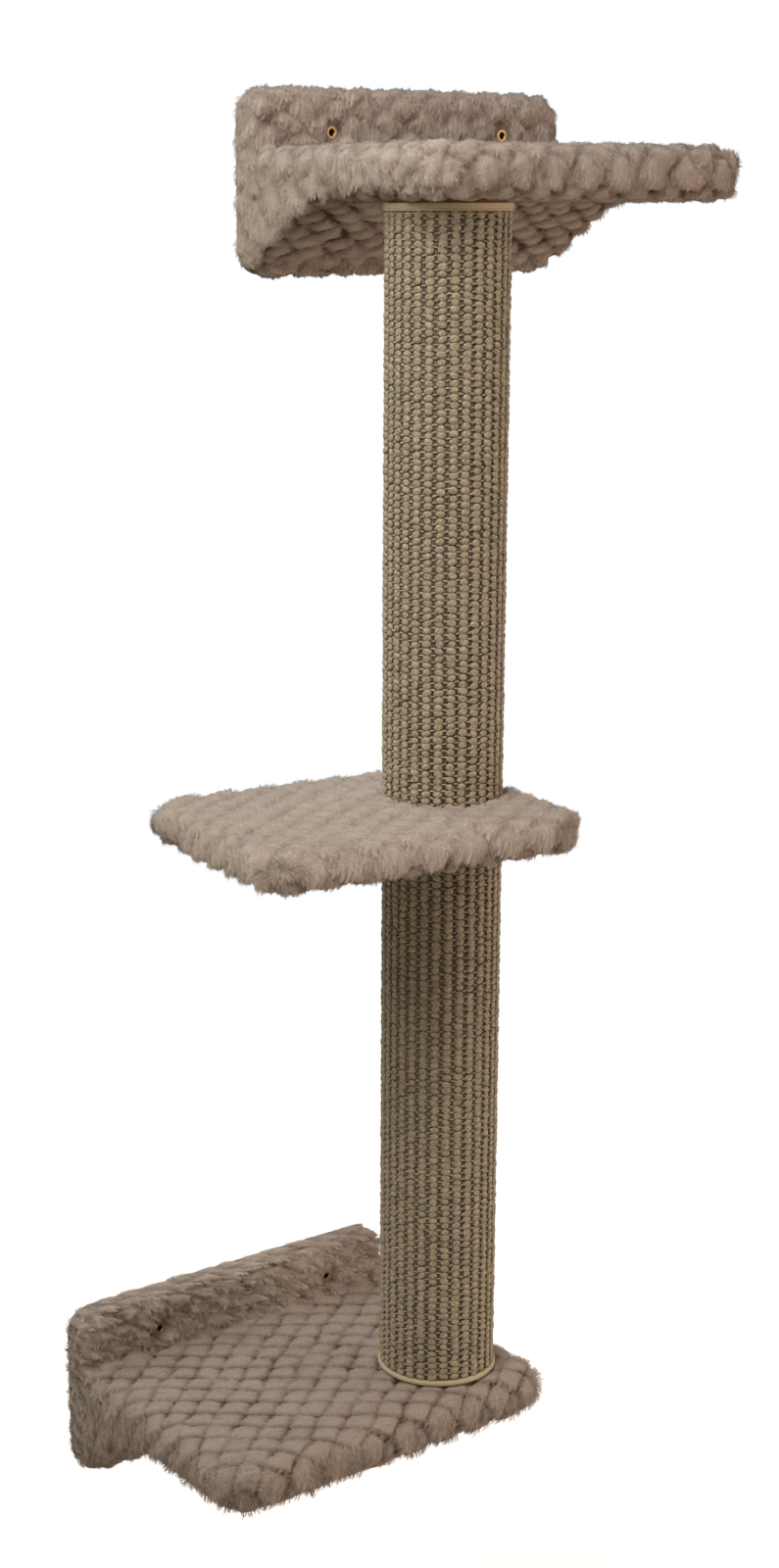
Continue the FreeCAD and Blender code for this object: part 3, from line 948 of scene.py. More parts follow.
def soft_shading(name, normal, plain, comb, gathered):
    """A shading normal for each leaf, near the skin's and rounded over its lock."""
    soft, edge = shading_softness[name], steepness(normal)
    shading = (1 - soft) * normal + soft * plain + 0.2 * dice.normal(size=normal.shape) - 0.15 * comb
    round_locks = (0.3 + (0.5 if name == "lower" else 0.1) * edge)[:, None]
    return unit(shading - 2 * round_locks * gathered / lock_width[name])


def fibre_tones_and_shade(name, root, normal, central, lock_tone):
    """Each fibre's tone, at random and by its lock, with painted shade at the sides of locks and on the
    lower shelf's flat faces.
    """
    edge = steepness(normal)
    # lighter in a lock's middle and darker at its sides, as painted shade
    tone = 0.15 * dice.random(len(root)) + 0.4 * lock_tone + 0.45 * central
    tone = 0.4 + 0.6 * tone * (1 if name == "lower" else 0.75)
    if name == "lower":
        # painted shade on the lower shelf's flat faces
        tone -= 0.3 * (1 - edge) * (1 - on_wall_board(name, root))
        # a random tone, and painted shade between the locks on the lower shelf's edges
        tone += 0.25 * (dice.random(len(root)) - 0.5) - 0.5 * edge * (1 - central) ** 2
    return tone


# %% [markdown]
# Now the leaves are made into meshes. Each cover's pile has two parts, so that neither mesh
# gets too heavy. A leaf also gets its own small tile of the texture, because an exported
# model carries its colours in a picture.

# %% Growing the pile


def mesh_of(name, points, faces):
    """A mesh object from arrays of places and triangles."""
    data = bpy.data.meshes.new(name)
    data.vertices.add(len(points))
    data.vertices.foreach_set("co", points.ravel().astype(np.float32))
    data.loops.add(faces.size)
    data.loops.foreach_set("vertex_index", faces.ravel().astype(np.int32))
    data.polygons.add(len(faces))
    starts = np.arange(0, faces.size, faces.shape[1], dtype=np.int32)
    data.polygons.foreach_set("loop_start", starts)
    data.polygons.foreach_set("use_smooth", np.ones(len(faces), bool))
    data.update(calc_edges=True)
    data.validate()
    return new_object(name, data)


def tiles(count):
    """The low corners of square tiles that share out a texture, and a tile's size."""
    side = math.ceil(math.sqrt(count))
    number = np.arange(count)
    return np.stack([number % side, number // side], axis=1) / side, 1 / side


def lay_out(data, spread):
    """Gives a mesh its texture layout, from the texture place of each vertex."""
    layout = data.uv_layers.new(name="OFBake")
    index = read(data.loops, "vertex_index", 1, np.int32)[:, 0]
    layout.data.foreach_set("uv", spread[index].ravel())


def grow_pile(name, part, skin, count, seed):
    """One part of a cover's pile."""
    root, normal, plain, home = seeds(
        skin.data, count, lambda *place: chance_of_pile(name, part, *place)
    )
    height, outward = pattern(name, home, plain, seed)
    # painted shade at each fibre, for its colour, which also sets how long it is
    crest_and_shade = painted_lightness(name, home, plain, height, seed)
    comb = combed(name, root, normal, outward, seed)
    gathered, central, lock_tone = gathered_locks(name, part, root, normal, seed)
    length = fibre_lengths(name, root, normal, crest_and_shade, central, lock_tone)
    leaf = bent_leaves(name, root, normal, comb, length, central, gathered)
    shading = soft_shading(name, normal, plain, comb, gathered)
    tone = fibre_tones_and_shade(name, root, normal, central, lock_tone)
    faces = np.array([[0, 3, 1], [1, 3, 2]]) + 4 * np.arange(count)[:, None, None]
    pile = mesh_of(f"{name}_{part}_plush_pile", leaf.reshape(-1, 3), faces.reshape(-1, 3))
    pile.data.normals_split_custom_set_from_vertices(np.repeat(shading, 4, axis=0))
    store(pile.data, "tip", np.tile([0.0, 0.55, 1.0, 0.55], count))
    for key, values in (("crest_and_shade", crest_and_shade), ("tone", tone), ("facing", shading)):
        store(pile.data, key, np.repeat(values, 4, axis=0))
    corner, size = tiles(count)
    leaf_shape = np.array([[0.5, 0.06], [0.94, 0.5], [0.5, 0.94], [0.06, 0.5]])
    lay_out(pile.data, (corner[:, None, :] + size * leaf_shape).reshape(-1, 2))
    return pile


pile_counts = {
    "lower": {"shelf": 98000, "wall": 80000},
    "upper": {"shelf": 98000, "wall": 80000},
    "platform": {"top": 70000, "edge": 60000},
}
piles = {}
for number, (name, skin) in enumerate(skins.items()):
    counts = pile_counts[name].items()
    piles[name] = [grow_pile(name, part, skin, count, 100 * number + 5) for part, count in counts]
    print(name, "pile has", sum(pile_counts[name].values()), "fibres")

# %% [markdown]
# The posts are wrapped in sisal woven with thick and thin yarns. Seen close, it has fat
# knots in columns, and between the columns thin bars that cross two thin threads, with
# dark gaps behind them. A bump map can't give the bumpy outline, so each knot, bar and
# thread is a small closed shape. One template of each is copied round the post with
# arrays, and every copy has its own size, tilt and shade.

# %% Templates for the weave


def lump(sides, rings):
    """A closed dome of radius 1 with a flat foot: its places and triangles."""
    points, faces = [], []
    for height, radius in rings:
        for k in range(sides):
            angle = 2 * math.pi * k / sides
            points.append((radius * math.cos(angle), radius * math.sin(angle), height))
    for ring in range(len(rings) - 1):
        for k in range(sides):
            a, b = ring * sides + k, ring * sides + (k + 1) % sides
            faces += [(a, b, b + sides), (a, b + sides, a + sides)]
    top = (len(rings) - 1) * sides
    faces += [(top, top + k, top + k + 1) for k in range(1, sides - 1)]
    faces += [(0, k + 1, k) for k in range(1, sides - 1)]
    return np.array(points), np.array(faces)


knot_shape = lump(8, ((-0.1, 0.96), (0.4, 1.0), (0.82, 0.8), (1.0, 0.36)))
bar_shape = lump(6, ((0.0, 1.0), (0.75, 0.72), (1.0, 0.2)))
thread_shape = lump(4, ((-0.4, 1.0), (0.8, 0.62)))


def copies(shape, angle, height, scales, tilt, radius, twist):
    """Copies of a template laid round the post, each scaled and tilted in its own way.

    It also gives places in the yarn, shrunk along its fibres, for the fibres' texture.
    """
    points, faces = shape
    local = points[None] * scales[:, None, :]
    way, aside = np.cos(twist)[:, None], np.sin(twist)[:, None]
    yarn = np.stack(
        [
            (local[:, :, 0] * way + local[:, :, 1] * aside) / 6,
            local[:, :, 1] * way - local[:, :, 0] * aside,
            local[:, :, 2],
        ],
        axis=2,
    )
    yarn += dice.random((len(angle), 1, 3))
    turn_a, turn_b = np.cos(tilt)[:, None], np.sin(tilt)[:, None]
    across = local[:, :, 0] * turn_a - local[:, :, 1] * turn_b
    up = local[:, :, 0] * turn_b + local[:, :, 1] * turn_a
    out = radius + local[:, :, 2]
    around = angle[:, None] + across / out
    placed = np.stack(
        [
            post_axis[0] + out * np.cos(around),
            post_axis[1] + out * np.sin(around),
            height[:, None] + up,
        ],
        axis=2,
    )
    step = len(points) * np.arange(len(angle))[:, None, None]
    return placed, faces[None] + step, points[:, :2], yarn


# %% [markdown]
# On the loom the thick yarn makes the knots and a thin one the bars, and two threads run
# the length of the sleeve between the ribs. Each kind is laid out by its own short
# function. A last one joins all copies into a mesh, with a closed tube of backing cloth
# behind them, and keeps each yarn's kind and shade for the material.

# %% Weaving the sleeves

rib_angle = 2 * math.pi / rib_count


def knot_places(low, high):
    """Each knot's rib, its row's middle height, its own height, and the pitch of the rows."""
    rows = round((high - low) / knot_pitch)
    pitch = (high - low) / rows
    rib, row = (grid.ravel() for grid in np.meshgrid(np.arange(rib_count), np.arange(rows)))
    drift = 0.16 * pitch * noise(np.stack([rib * 1.0, row * 1.0, 0 * rib], axis=1), 5.0, 3)
    drift += 0.5 * pitch * (steady(np.stack([rib, 0 * rib, 0 * rib], axis=1), 9) - 0.5)
    level = low + (row + 0.5) * pitch
    return rib, level, level + drift + 0.35 * MM * dice.normal(size=len(rib)), pitch


def varied(count, *sizes):
    """Sizes for each copy, from millimetres with the lowest and highest share of them."""
    return MM * np.stack([size * dice.uniform(low, high, count) for size, low, high in sizes], axis=1)


def lay_knots(rib, height, outside):
    """The fat knots in the middle of every rib."""
    count = len(rib)
    angle = (rib + 0.5) * rib_angle + 0.02 * rib_angle * dice.normal(size=count)
    scales = varied(count, (4.6, 0.86, 1.1), (3.7, 0.86, 1.1), (2.1, 0.75, 1.15))
    tilt, twist = 0.3 * dice.normal(size=count), 0.6 + 0.35 * dice.normal(size=count)
    return copies(knot_shape, angle, height, scales, tilt, outside - 2.4 * MM, twist)


def lay_bars(rib, height, outside):
    """The thin bars that join one rib to the next."""
    count = len(rib)
    angle = (rib + 1.0) * rib_angle + 0.03 * rib_angle * dice.normal(size=count)
    scales = varied(count, (4.0, 0.9, 1.1), (1.2, 0.8, 1.2), (1.2, 0.9, 1.2))
    tilt, twist = 0.12 * dice.normal(size=count), 0.15 * dice.normal(size=count)
    return copies(bar_shape, angle, height, scales, tilt, outside - 2.7 * MM, twist)


def lay_threads(rib, height, pitch, side, outside):
    """One of the two upright threads between the ribs."""
    count = len(rib)
    angle = (rib + 1.0) * rib_angle + side * 0.115 * rib_angle
    wide, along = 0.85 * MM * dice.uniform(0.8, 1.1, count), np.full(count, 0.72 * pitch)
    scales = np.stack([wide, along, 0.8 * MM * dice.uniform(0.9, 1.1, count)], axis=1)
    straight, upright = np.zeros(count), np.full(count, math.pi / 2)
    return copies(thread_shape, angle, height, scales, straight, outside - 3.6 * MM, upright)


def backing_tube(z_low, z_high, inner, outer, sides=62):
    """The closed tube of backing cloth that the yarns sit on."""
    angle = 2 * math.pi * np.arange(sides) / sides
    points = [
        vectors(post_axis[0] + r * np.cos(angle), post_axis[1] + r * np.sin(angle), z)
        for r, z in ((inner, z_low), (outer, z_low), (outer, z_high), (inner, z_high))
    ]
    faces = []
    for side in range(4):
        for k in range(sides):
            a, b = side * sides + k, side * sides + (k + 1) % sides
            c, d = (side + 1) % 4 * sides + k, (side + 1) % 4 * sides + (k + 1) % sides
            faces += [(a, b, d), (a, d, c)]
    return np.concatenate(points), np.array(faces)


def joined(name, yarns, tube_points, tube_faces):
    """One mesh from every yarn's copies and the tube, with what the sisal finish reads."""
    count = len(yarns[0][1][0])
    corner, size = tiles(len(yarns) * count + 1)
    rows, total = [], 0
    for number, (kind, (placed, triangles, flat, yarn)) in enumerate(yarns):
        shade = np.repeat(dice.random(count), placed.shape[1])
        own = corner[number * count : (number + 1) * count, None]
        spread = (own + size * (0.5 + 0.46 * flat)).reshape(-1, 2)
        faces = triangles.reshape(-1, 3) + total
        kinds = np.full(len(shade), kind)
        rows.append((placed.reshape(-1, 3), faces, kinds, shade, yarn.reshape(-1, 3), spread))
        total += len(shade)
    plain, half = np.zeros(len(tube_points)), np.full(len(tube_points), 0.5)
    spread = corner[-1] + size * dice.uniform(0.1, 0.9, (len(tube_points), 2))
    rows.append((tube_points, tube_faces + total, plain, half, tube_points, spread))
    points, faces, kinds, shades, places, spread = (np.concatenate(part) for part in zip(*rows))
    sleeve = mesh_of(name, points, faces)
    for key, values in (("kind", kinds), ("shade", shades), ("yarn", places)):
        store(sleeve.data, key, values)
    lay_out(sleeve.data, spread)
    return sleeve


def weave(name, node):
    """A post's woven sleeve, in place of its plain one."""
    low, high = corners(node)
    outside = (high - low)[0] / 2
    rib, level, height, pitch = knot_places(low[2], high[2])
    knots = lay_knots(rib, np.clip(height, low[2] + 3 * MM, high[2] - 3 * MM), outside)
    between = np.clip(height + pitch / 2, low[2] + 2 * MM, high[2] - 2 * MM)
    bars = lay_bars(rib, between, outside)
    threads = [lay_threads(rib, level, pitch, side, outside) for side in (-1, 1)]
    yarns = [(1.0, knots), (0.7, bars), (0.35, threads[0]), (0.35, threads[1])]
    tube = backing_tube(low[2], high[2], outside - 4.7 * MM, outside - 3.1 * MM)
    sleeve = joined(name, yarns, *tube)
    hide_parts(node)
    print(name, "has", len(rib), "knots and", len(sleeve.data.polygons), "triangles")
    return sleeve


sleeves = [weave(f"{name}_sisal_weave", f"{name}_post_sisal_sleeve") for name in ("lower", "upper")]

# %% [markdown]
# A material is a small graph of nodes. These helpers keep the graphs short to write. They
# add a node and fill its sockets, start a material with the Principled shader, which every
# finish here uses, and do the few things that each finish does: scale a value, blend or
# darken a colour, and link the result.

# %% Helpers for materials


def add(tree, kind, values=None, **settings):
    """Adds a node. A value that is a socket is linked, and any other is typed in."""
    made = tree.nodes.new("ShaderNode" + kind)
    for key, value in settings.items():
        setattr(made, key, value)
    for key, value in (values or {}).items():
        if isinstance(value, bpy.types.NodeSocket):
            tree.links.new(value, made.inputs[key])
        else:
            made.inputs[key].default_value = value
    return made


def place_group(tree, group, **values):
    """Adds a node group with its values."""
    return add(tree, "Group", values, node_tree=group)


def new_material(name, **sockets):
    """A material with its Principled shader, whose even values are set on the shader."""
    material = bpy.data.materials.new(name)
    material.use_nodes = True
    shader = material.node_tree.nodes["Principled BSDF"]
    for key, value in sockets.items():
        shader.inputs[key.replace("_", " ")].default_value = value
    return material, material.node_tree, shader


def rgb(red, green, blue):
    """A colour as a picture editor shows it, from 0 to 255, for a socket that wants light."""
    shares = np.array([red, green, blue]) / 255
    light = np.where(shares <= 0.04045, shares / 12.92, ((shares + 0.055) / 1.055) ** 2.4)
    return (*light, 1.0)


def stored(tree, name):
    """What the mesh keeps under a name, as a number over the surface."""
    return add(tree, "Attribute", attribute_name=name).outputs["Fac"]


def remap(tree, value, low, high, from_low=0.0, from_high=1.0):
    """A value stretched to run from low to high."""
    sockets = {"Value": value, "To Min": low, "To Max": high, "From Min": from_low, "From Max": from_high}
    return add(tree, "MapRange", sockets).outputs["Result"]


def product(tree, first, second):
    """Two numbers multiplied."""
    return add(tree, "Math", {0: first, 1: second}, operation="MULTIPLY").outputs[0]


def at_level(tree, colour, level):
    """A colour made lighter or darker by a number."""
    made = add(tree, "VectorMath", {0: colour, "Scale": level}, operation="SCALE")
    return made.outputs["Vector"]


def blend_colours(tree, share, first, second, way="MIX"):
    """The first colour with a share of the second blended in."""
    sockets = {0: share, 6: first, 7: second}
    return add(tree, "Mix", sockets, data_type="RGBA", blend_type=way).outputs[2]


def colour_ramp(tree, share, first, last, between):
    """A colour that goes from the first to the last, through others at places between 0 and 1."""
    made = add(tree, "ValToRGB", {"Fac": share})
    elements = made.color_ramp.elements
    elements[0].color, elements[1].color = first, last
    for place, colour in between.items():
        elements.new(place).color = colour
    return made.outputs["Color"]


def link_finish(tree, shader, colour, rough, **bump):
    """Links a colour, a roughness and a bump into the shader."""
    tree.links.new(colour, shader.inputs["Base Color"])
    tree.links.new(rough, shader.inputs["Roughness"])
    tree.links.new(add(tree, "Bump", bump).outputs["Normal"], shader.inputs["Normal"])


# %% [markdown]
# Two effects serve many of the finishes, so they are node groups. Mottle gives slow drift
# with fine grain on top. Fibres gives short streaks along one direction, for wood, card and
# the structure's other finishes.

# %% Groups shared by the finishes


def make_mottle():
    """Slow drift and fine grain, at two scales that each finish sets."""
    group = bpy.data.node_groups.new("Mottle", "ShaderNodeTree")
    face = group.interface
    face.new_socket("Large", in_out="INPUT", socket_type="NodeSocketFloat").default_value = 20
    face.new_socket("Small", in_out="INPUT", socket_type="NodeSocketFloat").default_value = 400
    face.new_socket("Drift", in_out="OUTPUT", socket_type="NodeSocketFloat")
    face.new_socket("Grain", in_out="OUTPUT", socket_type="NodeSocketFloat")
    inside, outside = group.nodes.new("NodeGroupInput"), group.nodes.new("NodeGroupOutput")
    where = add(group, "TexCoord").outputs["Object"]
    for source, target in (("Large", "Drift"), ("Small", "Grain")):
        texture = add(group, "TexNoise", {"Vector": where, "Scale": inside.outputs[source], "Detail": 3.0})
        group.links.new(texture.outputs["Fac"], outside.inputs[target])
    return group


def make_fibres():
    """Streaks, stretched as each finish sets."""
    group = bpy.data.node_groups.new("Fibres", "ShaderNodeTree")
    face = group.interface
    stretch = face.new_socket("Stretch", in_out="INPUT", socket_type="NodeSocketVector")
    stretch.default_value = (300, 300, 30)
    face.new_socket("Streak", in_out="OUTPUT", socket_type="NodeSocketFloat")
    inside, outside = group.nodes.new("NodeGroupInput"), group.nodes.new("NodeGroupOutput")
    where = add(group, "TexCoord").outputs["Object"]
    scaled = add(group, "VectorMath", {0: where, 1: inside.outputs["Stretch"]}, operation="MULTIPLY")
    texture = add(group, "TexNoise", {"Vector": scaled.outputs["Vector"], "Scale": 1.0, "Detail": 4.0})
    group.links.new(texture.outputs["Fac"], outside.inputs["Streak"])
    return group


mottle, fibres = make_mottle(), make_fibres()

# %% [markdown]
# The plush is a warm grey beige. Its fibres are painted darker at the root than at the tip,
# as painted shade deep in the pile and painted light on the tips, so the lines between the
# tufts look deep, and no two locks have quite the same tone. Light passes through such thin
# fibres, so a leaf that shows its back is blended with a pale cream as painted light.
# Without that, the leaves along every outline would look dark.

# %% Plush finishes


def plush_skin_finish():
    """The fabric under the pile, dark with painted shade in the lines between tufts, in pits and on
    undersides.
    """
    material, tree, shader = new_material("plush_backing", Specular_IOR_Level=0.0)
    spots = place_group(tree, mottle, Large=14.0, Small=520.0)
    grain = spots.outputs["Grain"]
    dark, pale = rgb(84, 66, 56), rgb(186, 173, 161)
    # painted shade: dark in the lines between tufts and on undersides, pale on the tufts
    painted_shade_colour = colour_ramp(tree, stored(tree, "crest_and_shade"), dark, pale, {0.35: rgb(150, 132, 119)})
    drift = remap(tree, spots.outputs["Drift"], 0.92, 1.06)
    level = product(tree, drift, remap(tree, grain, 0.9, 1.1))
    rough = remap(tree, grain, 0.85, 1.0)
    colour = at_level(tree, painted_shade_colour, level)
    link_finish(tree, shader, colour, rough, Height=grain, Strength=0.7, Distance=1.2 * MM)
    return material


def plush_pile_finish():
    """The fibres, painted from shade at the root to light at the tip, with the pile's painted shade, and
    painted light on leaves seen from behind.
    """
    material, tree, shader = new_material("plush_pile", Specular_IOR_Level=0.0)
    spots = place_group(tree, mottle, Large=14.0, Small=160.0)
    grain, tip = spots.outputs["Grain"], stored(tree, "tip")
    # painted shade at the root and painted light at the tip
    shaded_root_colour, lit_tip_colour = rgb(146, 128, 115), rgb(222, 211, 200)
    along = colour_ramp(tree, tip, shaded_root_colour, lit_tip_colour, {0.5: rgb(194, 180, 167)})
    drift = remap(tree, spots.outputs["Drift"], 0.92, 1.06)
    # each fibre's tone, which holds painted shade at the sides of locks and on the lower shelf
    tone = remap(tree, stored(tree, "tone"), 0.5, 1.16)
    # painted shade from the lines between tufts, the pits and the undersides
    height = remap(tree, stored(tree, "crest_and_shade"), 0.56, 1.04)
    toned = at_level(tree, along, product(tree, product(tree, drift, tone), height))
    warm = remap(tree, grain, 0.0, 0.5)
    tinted = blend_colours(tree, warm, toned, rgb(244, 232, 224), "MULTIPLY")
    # painted light: a leaf seen from behind is blended with pale cream, as if lit through
    behind = remap(tree, add(tree, "NewGeometry").outputs["Backfacing"], 0.0, 0.55)
    colour = blend_colours(tree, behind, tinted, rgb(244, 232, 220))
    rough = remap(tree, tip, 0.95, 0.72)
    facing = add(tree, "Attribute", attribute_name="facing").outputs["Vector"]
    bump = {"Height": grain, "Strength": 0.25, "Distance": 0.5 * MM, "Normal": facing}
    link_finish(tree, shader, colour, rough, **bump)
    return material


backing, pile_finish = plush_skin_finish(), plush_pile_finish()
print("plush finishes:", backing.name, pile_finish.name)

# %% [markdown]
# Sisal is a dry, stiff leaf fibre. Its yarns are grey beige with paler flecks, and each
# has its own tint. Painted shade makes a yarn darker the deeper it lies, and makes the
# backing cloth behind them dark brown.

# %% Sisal finish


def sisal_finish():
    """The yarns, darker with painted shade the deeper they lie: from the backing cloth, painted dark as
    shadow, to the pale knots.
    """
    material, tree, shader = new_material("woven_sisal", Sheen_Weight=0.05)
    yarn_place = add(tree, "Attribute", attribute_name="yarn").outputs["Vector"]
    noisy = add(tree, "TexNoise", {"Vector": yarn_place, "Scale": 1300.0, "Detail": 3.0})
    streaks = noisy.outputs["Fac"]
    spots = place_group(tree, mottle, Large=9.0, Small=700.0)
    kind, shade = stored(tree, "kind"), stored(tree, "shade")
    # painted shade: the deeper a yarn lies, the darker it is, and the backing cloth is darkest
    cloth, knot = rgb(84, 72, 54), rgb(173, 162, 138)
    thread, bar = rgb(139, 125, 99), rgb(171, 160, 134)
    yarn = colour_ramp(tree, kind, cloth, knot, {0.35: thread, 0.7: bar})
    own = remap(tree, shade, 0.86, 1.1)
    streak = remap(tree, streaks, 0.55, 1.5, 0.3, 0.7)
    drift = remap(tree, spots.outputs["Drift"], 0.9, 1.08)
    toned = at_level(tree, yarn, product(tree, product(tree, own, streak), drift))
    browner = remap(tree, shade, 0.0, 0.4)
    tinted = blend_colours(tree, browner, toned, rgb(238, 222, 196), "MULTIPLY")
    fleck = remap(tree, streaks, 0.0, 0.9, 0.56, 0.7)
    colour = blend_colours(tree, fleck, tinted, rgb(216, 208, 186))
    rough = remap(tree, streaks, 0.62, 0.95)
    link_finish(tree, shader, colour, rough, Height=streaks, Strength=0.9, Distance=0.9 * MM)
    return material


sisal = sisal_finish()
print("sisal finish:", sisal.name)

# %% [markdown]
# The structure keeps its own shapes and only gets finishes: particle board with its chips,
# plywood and wound card with their grain, cream edge tape, brass and zinc plated steel.

# %% Finishes of the structure


def grained(name, light, dark, stretch, small, roughness, bump_depth, **sockets):
    """A finish with two tones along streaks, roughness from its grain, and a fine bump."""
    material, tree, shader = new_material(name, **sockets)
    streaks = place_group(tree, fibres, Stretch=stretch).outputs["Streak"]
    grain = place_group(tree, mottle, Large=12.0, Small=small).outputs["Grain"]
    share = remap(tree, streaks, 0.0, 1.0, 0.3, 0.7)
    mixed = blend_colours(tree, share, light, dark)
    colour = at_level(tree, mixed, remap(tree, grain, 0.88, 1.1))
    rough = remap(tree, grain, *roughness)
    link_finish(tree, shader, colour, rough, Height=streaks, Strength=0.5, Distance=bump_depth)
    return material


board = grained(
    "particle_board", rgb(205, 178, 138), rgb(150, 118, 80), (260, 700, 420), 500.0, (0.6, 0.85), 0.5 * MM
)
plywood = grained(
    "plywood", rgb(214, 185, 142), rgb(176, 141, 98), (40, 300, 900), 300.0, (0.5, 0.75), 0.3 * MM
)
card = grained(
    "wound_card", rgb(178, 146, 106), rgb(146, 115, 80), (300, 300, 60), 500.0, (0.7, 0.9), 0.2 * MM
)
tape = grained(
    "cream_tape", rgb(218, 206, 175), rgb(196, 181, 147), (700, 700, 900), 900.0, (0.75, 0.95), 0.4 * MM
)
brass = grained(
    "brass", rgb(176, 152, 104), rgb(150, 124, 78),
    (200, 200, 200), 300.0, (0.3, 0.45), 0.05 * MM, Metallic=1.0,
)
steel = grained(
    "zinc_steel", rgb(196, 198, 200), rgb(168, 171, 175),
    (300, 300, 60), 400.0, (0.28, 0.45), 0.05 * MM, Metallic=1.0,
)
finishes = {
    "particle_board": board,
    "plywood": plywood,
    "card": card,
    "felt": tape,
    "brass": brass,
    "zinc_steel": steel,
}
print("finishes of the structure:", ", ".join(finishes))

# %% [markdown]
# Each skin takes the place of the plain covers, which are hidden, and each weave that of
# its plain sleeve. The structure's own pieces stay as they are and get a finish by the name
# of their material. The pile casts no shadow: real fibres let light through, and leaves that
# shade one another would look wiry.

# %% Dressing every piece
unit_parts = ("wall", "shelf", "web")
covers = {name: [f"{name}_{part}_cover" for part in unit_parts] for name in ("lower", "upper")}
covers["platform"] = ["platform_cover"]
for name, skin in skins.items():
    skin.data.materials.append(backing)
    for pile in piles[name]:
        pile.data.materials.append(pile_finish)
        pile.visible_shadow = False
    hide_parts(*covers[name])
    for piece in (skin, *piles[name]):
        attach(piece, "root")
for sleeve in sleeves:
    sleeve.data.materials.append(sisal)
    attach(sleeve, "root")
for part in frame["record"]["subparts"]:
    if part["material_slot"] in finishes:
        for slot in nodes[part["node"]].material_slots:
            slot.material = finishes[part["material_slot"]]
print("dressed:", len(skins), "skins,", sum(map(len, piles.values())), "piles,", len(sleeves), "weaves")

# %% [markdown]
# The photograph was taken from the left, a little above, with a long lens. The camera's
# place and lens come from fitting the outlines of posts and shelves. The principal point
# lies off the picture's middle, so the lens is shifted a little.

# %% Camera
picture_width, picture_height = 795, 1600
focal_pixels = 2517.2
centre_x, centre_y = 353.6, 889.5
sensor = 36.0

camera_data = bpy.data.cameras.new("camera")
camera_data.sensor_width = sensor
camera_data.lens = focal_pixels / picture_height * sensor
camera_data.shift_x = (picture_width / 2 - centre_x) / picture_height
camera_data.shift_y = (centre_y - picture_height / 2) / picture_height
camera = bpy.data.objects.new("camera", camera_data)
bpy.context.collection.objects.link(camera)
camera.location = (-1.3945, -2.0654, 1.1570)
yaw, pitch = math.radians(-36.9), math.radians(-15.22)
camera.rotation_euler = (math.pi / 2 + pitch, 0, yaw)
bpy.context.scene.camera = camera

# %% [markdown]
# The light is a plain studio: a softbox at the upper left, a small lamp above, three fills
# from the right and left, and two lamps behind for a clean outline. Two narrow spots
# brighten the platform and the upper shelf, and the world gives a little warm light all
# round. Rays from the camera see a white background instead.

# %% Light and background


def hang(name, kind, place, target, watts, colour):
    """Hangs a lamp that faces a target, and gives its data for the rest."""
    data = bpy.data.lights.new(name, kind)
    data.energy, data.color = watts, colour
    lamp = new_object(name, data)
    lamp.location = place
    lamp.rotation_euler = (Vector(target) - Vector(place)).to_track_quat("-Z", "Y").to_euler()
    return data


def area_light(name, place, target, size, watts, colour):
    """A square lamp with an even, soft light."""
    data = hang(name, "AREA", place, target, watts, colour)
    data.shape, data.size = "SQUARE", size


def spot_light(name, place, target, watts, angle, colour):
    """A lamp with a narrow beam that fades towards its edge."""
    data = hang(name, "SPOT", place, target, watts, colour)
    data.shadow_soft_size = 0.35
    data.spot_size, data.spot_blend = math.radians(angle), 1.0


middle = (cad_low + cad_high) / 2
upper_middle = middle + Vector((0, 0, 0.3))
area_light("softbox_left", (-1.9, -0.8, 2.4), upper_middle, 1.1, 24, (1.0, 0.94, 0.88))
area_light("ceiling", (-0.35, -0.35, 2.3), middle, 0.9, 8, (0.84, 0.92, 1.0))
area_light("fill_right", (1.7, -1.9, 1.3), middle, 1.6, 15, (1.0, 0.65, 0.52))
area_light("fill_low_right", (1.3, -1.2, -0.2), upper_middle, 0.8, 8.0, (1.0, 0.93, 0.82))
area_light("fill_left", (-2.6, -1.0, 0.5), middle, 1.4, 6, (1.0, 0.9, 0.8))
area_light("backdrop", (0.2, 1.8, 2.3), middle, 1.2, 14, (0.83, 0.93, 1.0))
area_light("backdrop_right", (2.2, 1.2, 1.2), middle, 1.2, 12, (0.83, 0.93, 1.0))
spot_light("spot_on_platform", (-0.9, -0.8, 2.4), (0.0, -0.24, 0.6), 115, 18, (1.0, 0.97, 0.9))
spot_light("spot_on_upper_shelf", (-0.9, -0.8, 2.6), (0.06, -0.15, 1.2), 95, 16, (1.0, 0.96, 0.9))


def white_to_the_eye(tree):
    """1 for rays from the camera and those that gloss and glass send on, else 0."""
    ray = add(tree, "LightPath")
    seen = ray.outputs["Is Camera Ray"]
    for other in ("Is Glossy Ray", "Is Transmission Ray"):
        seen = add(tree, "Math", {0: seen, 1: ray.outputs[other]}, operation="MAXIMUM").outputs[0]
    return seen


world = bpy.data.worlds.new("studio")
bpy.context.scene.world = world
world.use_nodes = True
tree = world.node_tree
soft = tree.nodes["Background"]
soft.inputs["Color"].default_value = (1.0, 0.8, 0.62, 1)
soft.inputs["Strength"].default_value = 0.14
white = add(tree, "Background", {"Color": (1, 1, 1, 1), "Strength": 1.0})
choose = add(tree, "MixShader", {0: white_to_the_eye(tree), 1: soft.outputs[0], 2: white.outputs[0]})
tree.links.new(choose.outputs[0], tree.nodes["World Output"].inputs["Surface"])

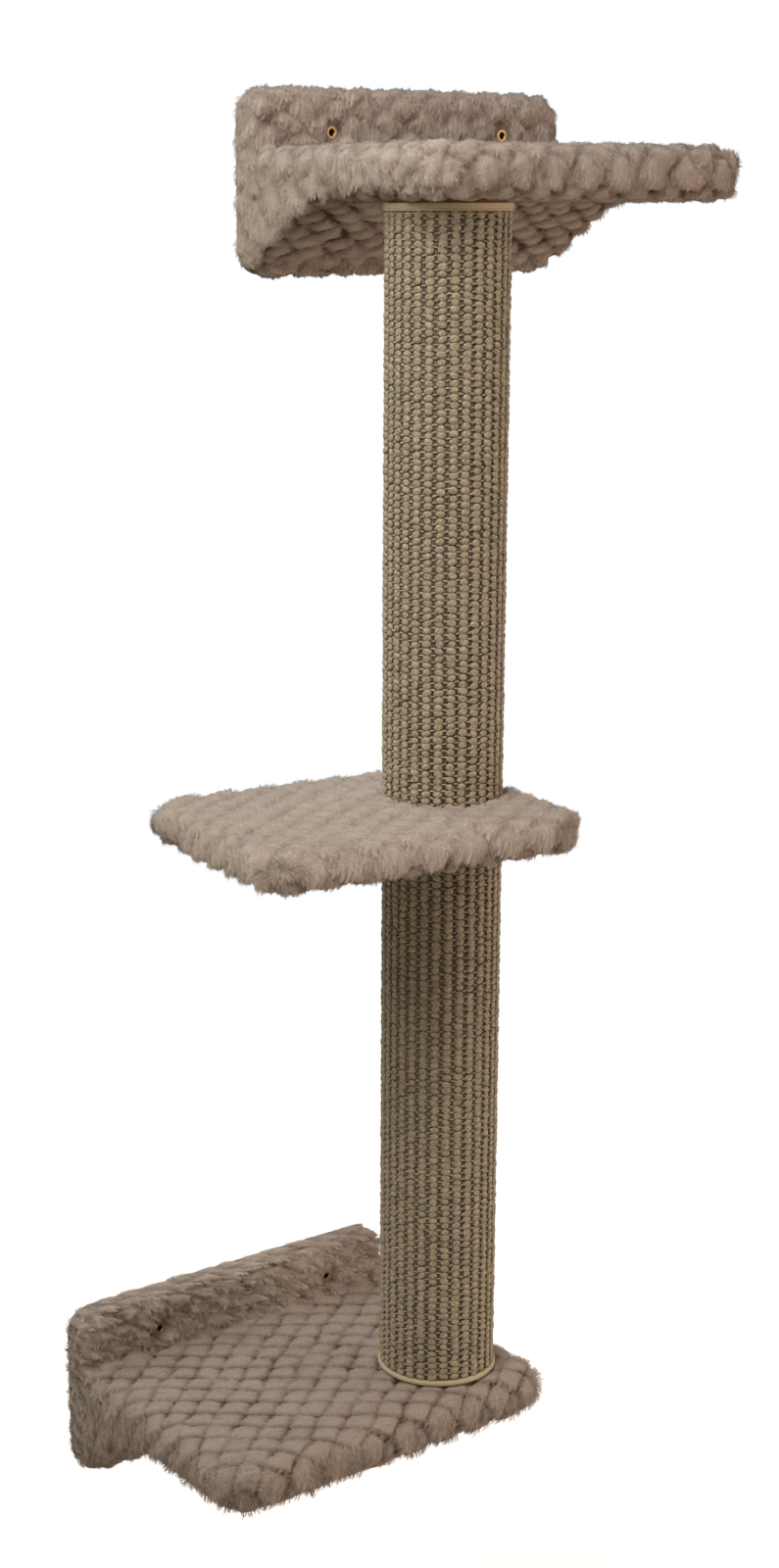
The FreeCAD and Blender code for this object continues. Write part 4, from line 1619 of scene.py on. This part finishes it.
# %% [markdown]
# The object hangs on a wall and touches no floor, but the picture has one below it, which
# throws some light up under the shelves. To the camera the floor glows almost white and
# fades out with distance, so that it melts into the background. It isn't part of the object.

# %% Floor

half_width, drop = 3.0, 0.45


def studio_floor():
    """A pale floor under the middle of the object."""
    level = cad_low.z - drop
    data = bpy.data.meshes.new("floor")
    ends = ((-1, -1), (1, -1), (1, 1), (-1, 1))
    places = [(middle.x + x * half_width, middle.y + y * half_width, level) for x, y in ends]
    data.from_pydata(places, [], [(0, 1, 2, 3)])
    floor = new_object("floor", data)
    material, tree, shader = new_material("pale_floor")
    spots = place_group(tree, mottle, Large=3.0, Small=60.0)
    tint = remap(tree, spots.outputs["Grain"], 0.97, 1.03)
    tree.links.new(at_level(tree, rgb(196, 184, 170)[:3], tint), shader.inputs["Base Color"])
    tree.links.new(remap(tree, spots.outputs["Drift"], 0.85, 0.95), shader.inputs["Roughness"])
    shader.inputs["Emission Strength"].default_value = 1.0
    lift = remap(tree, white_to_the_eye(tree), 0.0, 0.78)
    glow = add(tree, "CombineColor", {"Red": lift, "Green": lift, "Blue": lift})
    tree.links.new(glow.outputs["Color"], shader.inputs["Emission Color"])
    where = add(tree, "TexCoord").outputs["Object"]
    shifted = add(tree, "VectorMath", {0: where, 1: (middle.x, middle.y, level)}, operation="SUBTRACT")
    far = add(tree, "VectorMath", {0: shifted.outputs["Vector"]}, operation="LENGTH").outputs["Value"]
    fade = remap(tree, far, 0.0, 1.0, 0.9, 2.6)
    clear = add(tree, "BsdfTransparent")
    mixed = add(tree, "MixShader", {0: fade, 1: shader.outputs[0], 2: clear.outputs[0]})
    tree.links.new(mixed.outputs[0], tree.nodes["Material Output"].inputs["Surface"])
    data.materials.append(material)


studio_floor()

# %% [markdown]
# The Standard view shows colours as they are, which suits a picture of a product. The
# light tree is off, because it leaves out lamps that are behind a leaf but in front of its
# shading normal.

# %% Look of the picture
bpy.context.scene.view_settings.view_transform = "Standard"
bpy.context.scene.cycles.use_light_tree = False
